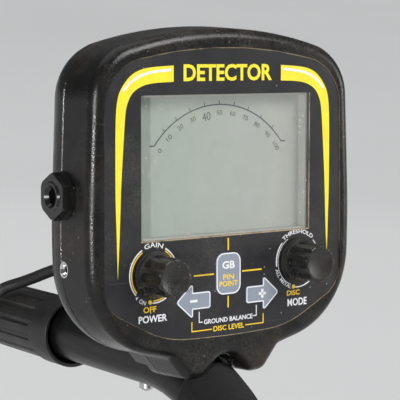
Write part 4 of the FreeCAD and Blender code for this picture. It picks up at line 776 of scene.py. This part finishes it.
def foam_grip():
    """Foam sleeve with rounded lips, softly uneven, pressed a little where fingers hold it."""
    line, total = grip_line()
    around, deep = 72, GRIP_R - ROD_R - FOAM_GAP
    rings = []
    for k, (y, z, a) in enumerate(line):
        s = total * k / (len(line) - 1)
        end = min(s, total - s)
        fall = 1.0 if end > GRIP_LIP else math.sqrt(max(0.0, 1 - (1 - end / GRIP_LIP) ** 2))
        ring = []
        for i in range(around):
            t = math.tau * i / around
            dent = 0.12 + 0.1 * noise.noise((2.2 * math.cos(t), 2.2 * math.sin(t), s * 0.11))
            under = max(0.0, -math.sin(t))
            hold = 0.22 * under * (0.5 + 0.5 * math.cos(math.tau * s / 21.0))
            r = ROD_R + FOAM_GAP + deep * fall - (dent + hold) * fall
            side, lift = r * math.cos(t), r * math.sin(t)
            ring.append(rod(side, y - lift * math.sin(a), z + lift * math.cos(a)))
        rings.append(ring)
    verts = [p for ring in rings for p in ring]
    faces = []
    for k in range(len(rings) - 1):
        for i in range(around):
            j = (i + 1) % around
            faces.append((k * around + i, k * around + j, (k + 1) * around + j, (k + 1) * around + i))
    inner = len(verts)
    for y, z, a in (line[0], line[-1]):
        for i in range(around):
            t = math.tau * i / around
            side, lift = ROD_R * math.cos(t), ROD_R * math.sin(t)
            verts.append(rod(side, y - lift * math.sin(a), z + lift * math.cos(a)))
    last = (len(rings) - 1) * around
    for i in range(around):
        j = (i + 1) % around
        faces.append((i, j, inner + j, inner + i)[::-1])
        faces.append((last + i, last + j, inner + around + j, inner + around + i))
        faces.append((inner + i, inner + j, inner + around + j, inner + around + i))
    made = add_mesh("foam_grip_sleeve", verts, faces, FOAM)
    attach(made, "head")
    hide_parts("foam_grip")


ARM_Y, ARM_LEN, ARM_R = -322.0, 112.0, 47.0      # the cradle's middle, length and inner radius
# Heights in the rod's frame: the rod's rear end, and the cradle's axis above it.
REAR_Z = -(BEND1_R + BEND2_R) * (1 - math.cos(BEND_ANGLE)) - GRIP_RUN * math.sin(BEND_ANGLE)
BLOCK_RISE, CRADLE_THICK = 7.0, 3.0
ARM_C = REAR_Z + ROD_R + BLOCK_RISE + CRADLE_THICK + ARM_R
PAD_INSET, PAD_THICK, PAD_ANGLE = 8.4, 4.4, math.radians(74.0)
CHANNELS = (-0.42, 0.42)         # where the two pressed channels run, as shares of the half width


def armrest_pad():
    """Foam lining: crowned, thinned to a rounded edge all round, with two shallow pressed channels."""
    across, along = 90, 110
    y0, y1 = ARM_Y - ARM_LEN / 2 + PAD_INSET, ARM_Y + ARM_LEN / 2 - PAD_INSET
    outer = ARM_R - 0.35
    verts, faces = [], []
    for layer in (0, 1):
        for i in range(across + 1):
            u = 2 * i / across - 1
            for k in range(along + 1):
                v = 2 * k / along - 1
                edge = (1 - abs(u) ** 14) ** 0.5 * (1 - abs(v) ** 18) ** 0.5
                channel = sum(math.exp(-((u - c) / 0.028) ** 2) for c in CHANNELS) * 1.1
                soft = 0.16 * noise.noise((u * 5, v * 6, 1.7))
                crown = PAD_THICK * (0.25 + 0.75 * edge) - channel * edge - 0.25 - soft
                height = 0.0 if layer else max(0.15, crown)
                r, t = outer - height, PAD_ANGLE * u * (0.985 + 0.015 * edge)
                verts.append(rod(r * math.sin(t), y0 + (y1 - y0) * (v + 1) / 2, ARM_C - r * math.cos(t)))
    row, size = along + 1, (across + 1) * (along + 1)
    for i in range(across):
        for k in range(along):
            a = i * row + k
            faces.append((a, a + 1, a + row + 1, a + row))
            faces.append((size + a, size + a + row, size + a + row + 1, size + a + 1))
    rim = list(range(along)) + [i * row + along for i in range(across)]
    rim += [across * row + k for k in range(along, 0, -1)] + [i * row for i in range(across, 0, -1)]
    for a, b in zip(rim, rim[1:] + rim[:1]):
        faces.append((b, a, size + a, size + b))
    made = add_mesh("armrest_pad_foam", verts, faces, FOAM)
    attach(made, "armrest")
    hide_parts("armrest_pad")


# ---- the coil's lead ---------------------------------------------------------------------------------
CABLE_R = 2.75
MID_R, LOW_R = 11.0, 9.5                     # the middle and lower rods
TURN = 96.0                                  # length of rod for one turn of the lead
UPPER_SIZE, LOWER_SIZE = 15.8, 14.6          # the locking nuts' radii
WRAP_TOP = 155.0                             # where the turns begin, on top of the rod
TIE_A, TIE_B, TIE_W = 424.0, 652.0, 8.0       # the two ties' middles and their width
TIE_GAP, ROD_GAP, NUT_GAP = 0.15, 1.15, 1.6  # the lead's clearance in a tie, on a rod and over a nut
LOOSE_GAP, CLOSE_GAP = 3.2, -0.1             # the loose turns beyond the nut's radius: over it, behind it
TAIL_TURNS = 4.25                            # turns made by the time the lead reaches the second tie
PLUG_Z, BOOT_END = 33.0, 90.0                # the plug's height and the end of its boot
GLAND, GLAND_RISE, GLAND_LENGTH = (-24.0, -34.0, 27.0), math.radians(42), 22.0
HINGE_H = 46.0                               # the hinge above the coil's underside
OFF_UPPER_NUT, OFF_LOWER_NUT = 186.0, 515.0  # where the turns begin to close in behind each nut


def beside_rod(y, turns, radius):
    """A point at that length of rod, after that many turns from the top."""
    return rod(-radius * math.sin(math.tau * turns), y, radius * math.cos(math.tau * turns))


def ease(share):
    """0 to 1 with a gentle start and stop."""
    share = min(1.0, max(0.0, share))
    return share * share * (3 - 2 * share)


def ramped(share, ramp):
    """0 to 1 at a steady pace, apart from a gentle start and stop of that share."""
    if share < ramp:
        return share * share / (2 * ramp) / (1 - ramp)
    if share > 1 - ramp:
        return 1 - (1 - share) ** 2 / (2 * ramp) / (1 - ramp)
    return (share - ramp / 2) / (1 - ramp)


def wrap_turns(y):
    """Turns made round the rod by that length, up to the first tie."""
    gentle = 24.0
    first, last, steady = WRAP_TOP - gentle / 2, TIE_A - 7.0, y
    if y < first + gentle:
        steady = WRAP_TOP + max(0.0, y - first) ** 2 / (2 * gentle)
    if y > last - gentle:
        left = max(0.0, (last - y) / gentle)
        steady = last - gentle / 2 * (1 + left * left)
    return (steady - WRAP_TOP) / TURN


def wrap_radius(y):
    """The lead's distance from the rod's axis: over the upper nut, on the rod, then held by the tie."""
    over, on, held = UPPER_SIZE + CABLE_R + NUT_GAP, MID_R + CABLE_R + ROD_GAP, MID_R + CABLE_R + TIE_GAP
    loose = over + (on - over) * ease((y - OFF_UPPER_NUT) / 26.0)
    return loose + (held - on) * ease((y - TIE_A + 24.0) / 18.0)


def upper_route():
    """From the plug's boot, over the upper nut and down the middle rod to its tie."""
    points = [rod(0, BOOT_END - 14, PLUG_Z), rod(0, BOOT_END + 22, PLUG_Z - 0.4),
              rod(0.2, BOOT_END + 46, PLUG_Z - 5.8)]
    start, stop, count = WRAP_TOP, TIE_A - 4.0, 25
    points += [beside_rod(y, wrap_turns(y), wrap_radius(y))
               for y in (start + (stop - start) * k / count for k in range(count + 1))]
    return points + [beside_rod(TIE_A + 4, wrap_turns(TIE_A) + 0.002, MID_R + CABLE_R + TIE_GAP)]


def slack_route():
    """Loose turns that let the lower rod slide: wide over the lower nut, closer behind it, then tied."""
    first, near, far = wrap_turns(TIE_A) + 0.002, MID_R + CABLE_R + TIE_GAP, LOW_R + CABLE_R + TIE_GAP
    over, loose = LOWER_SIZE + CABLE_R + LOOSE_GAP, LOWER_SIZE + CABLE_R + CLOSE_GAP
    start, stop, count, points = TIE_A + 4.05, TIE_B - 14.0, 42, []
    for k in range(count + 1):
        share = k / count
        y = start + (stop - start) * share
        radius = near + (over - near) * ease(share / 0.17)
        radius += (loose - over) * ease((y - OFF_LOWER_NUT) / 40.0)
        radius += (far - loose) * ease((y - TIE_B + 22.0) / 19.0)
        points.append(beside_rod(y, first + (TAIL_TURNS - first) * ramped(share, 0.22), radius))
    return points + [rod(-far, TIE_B - TIE_W / 2 - 0.6, 0)]


def gland_point(along):
    """A point on the gland's axis, that far out from its mouth."""
    x, y, z = GLAND
    reach = GLAND_LENGTH + along
    offset = Vector((x, y - math.cos(GLAND_RISE) * reach, z + math.sin(GLAND_RISE) * reach - HINGE_H))
    return HINGE + offset * MM


def tail_route():
    """From the tie on the lower rod, in a loose arch down to the coil's gland."""
    far = LOW_R + CABLE_R + TIE_GAP
    return [rod(-far, TIE_B - TIE_W / 2 - 0.2, 0), rod(-far, TIE_B + 6, 0),
            rod(-far - 0.8, TIE_B + 18, 1.8), rod(-far - 6.5, TIE_B + 35, 7.0),
            gland_point(30), gland_point(-4)]


def lead(name, route, node):
    """A smooth round lead along a route, as a mesh."""
    curve = bpy.data.curves.new(name + "_line", "CURVE")
    curve.dimensions, curve.bevel_depth, curve.bevel_resolution = "3D", CABLE_R * MM, 6
    curve.resolution_u, curve.use_fill_caps = 8, True
    spline = curve.splines.new("NURBS")
    spline.points.add(len(route) - 1)
    for spot, point in zip(spline.points, route):
        spot.co = (*point, 1)
    spline.order_u = 3
    spline.use_endpoint_u = True
    line = bpy.data.objects.new(name + "_line", curve)
    bpy.context.scene.collection.objects.link(line)
    bpy.context.view_layer.update()
    mesh = bpy.data.meshes.new_from_object(line.evaluated_get(bpy.context.evaluated_depsgraph_get()))
    bpy.data.objects.remove(line)
    made = bpy.data.objects.new(name, mesh)
    bpy.context.scene.collection.objects.link(made)
    paint(made, JACKET)
    mesh.polygons.foreach_set("use_smooth", [True] * len(mesh.polygons))
    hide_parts(node)
    return made


def leads():
    """The lead's three lengths: the first rides on the rods, the others stretch between two bodies."""
    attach(lead("lead_wound", upper_route(), "lead_upper"), "head")
    slack = lead("lead_loose_turns", slack_route(), "lead_slack")
    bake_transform(slack)
    tail = lead("lead_arch", tail_route(), "lead_tail")
    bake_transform(tail)


# ---- stage, light and camera -------------------------------------------------------------------------
# The camera's place, view and upright in the rod's frame.
CAMERA_AT, LOOK, CAMERA_UP = (-356.2, -474.6, 128.4), (0.5824, 0.8071, -0.0969), (0.0562, 0.0789, 0.9953)
LENS = 136.6


def camera():
    """A long lens in front of the control box and to its left."""
    data = bpy.data.cameras.new("camera")
    data.lens, data.sensor_width = LENS, 36.0
    data.clip_start, data.clip_end = 0.01, 60.0
    made = bpy.data.objects.new("camera", data)
    bpy.context.scene.collection.objects.link(made)
    back = -direction(*LOOK).normalized()
    side = direction(*CAMERA_UP).cross(back).normalized()
    up = back.cross(side)
    made.matrix_world = Matrix((side, up, back)).transposed().to_4x4()
    made.location = rod(*CAMERA_AT)
    bpy.context.scene.camera = made


FLOOR_REACH, FLOOR_Z = 14.0, -0.0006     # metres


def studio():
    """Plain pale floor, wide enough to fill the picture."""
    verts, count = [Vector((0, 0, FLOOR_Z))], 96
    for k in range(count):
        turn = math.tau * k / count
        verts.append(Vector((FLOOR_REACH * math.cos(turn), FLOOR_REACH * math.sin(turn), FLOOR_Z)))
    faces = [(0, k + 1, (k + 1) % count + 1) for k in range(count)]
    m = Material("stage_paper")
    pale = m.blend(m.noise(1.6, 2.0), grey(0.8), grey(0.85))
    stage = add_mesh("stage_floor", verts, faces, m.finish(pale, 0.9, []))


def area(name, towards, distance, size, power):
    """A soft lamp in a direction from the control box, facing it."""
    data = bpy.data.lights.new(name, "AREA")
    data.shape = "RECTANGLE"
    data.size, data.size_y = size
    data.energy = power
    made = bpy.data.objects.new(name, data)
    bpy.context.scene.collection.objects.link(made)
    out = direction(*towards).normalized()
    made.location = rod(0, 0, 80) + out * distance
    made.rotation_mode = "QUATERNION"
    made.rotation_quaternion = (-out).to_track_quat("-Z", "Y")


def sun(name, towards, power, angle):
    """A distant soft lamp in a direction from the control box."""
    data = bpy.data.lights.new(name, "SUN")
    data.energy, data.angle = power, math.radians(angle)
    made = bpy.data.objects.new(name, data)
    bpy.context.scene.collection.objects.link(made)
    made.rotation_mode = "QUATERNION"
    made.rotation_quaternion = (-direction(*towards).normalized()).to_track_quat("-Z", "Y")


def light():
    """Soft key from the right, a low narrow edge light from the left, a faint fill and a lamp above."""
    sun("key", (0.45, -0.85, 0.72), 2.1, 30)
    sun("edge", (-0.8, -0.58, 0.02), 1.8, 4)
    sun("side", (0.87, -0.5, 0.06), 0.45, 16)
    area("top", (-0.1, 0.2, 1.0), 1.3, (1.2, 1.2), 4)
    world = bpy.data.worlds.new("studio_air")
    world.use_nodes = True
    tree = world.node_tree
    tree.nodes["Background"].inputs["Color"].default_value = (0.92, 0.95, 1.0, 1)
    tree.nodes["Background"].inputs["Strength"].default_value = 0.13
    bpy.context.scene.world = world
    bpy.context.scene.view_settings.view_transform = "Standard"


camera()
panel_prints()
key_prints()
display_marks()
foam_grip()
armrest_pad()
leads()
studio()
light()
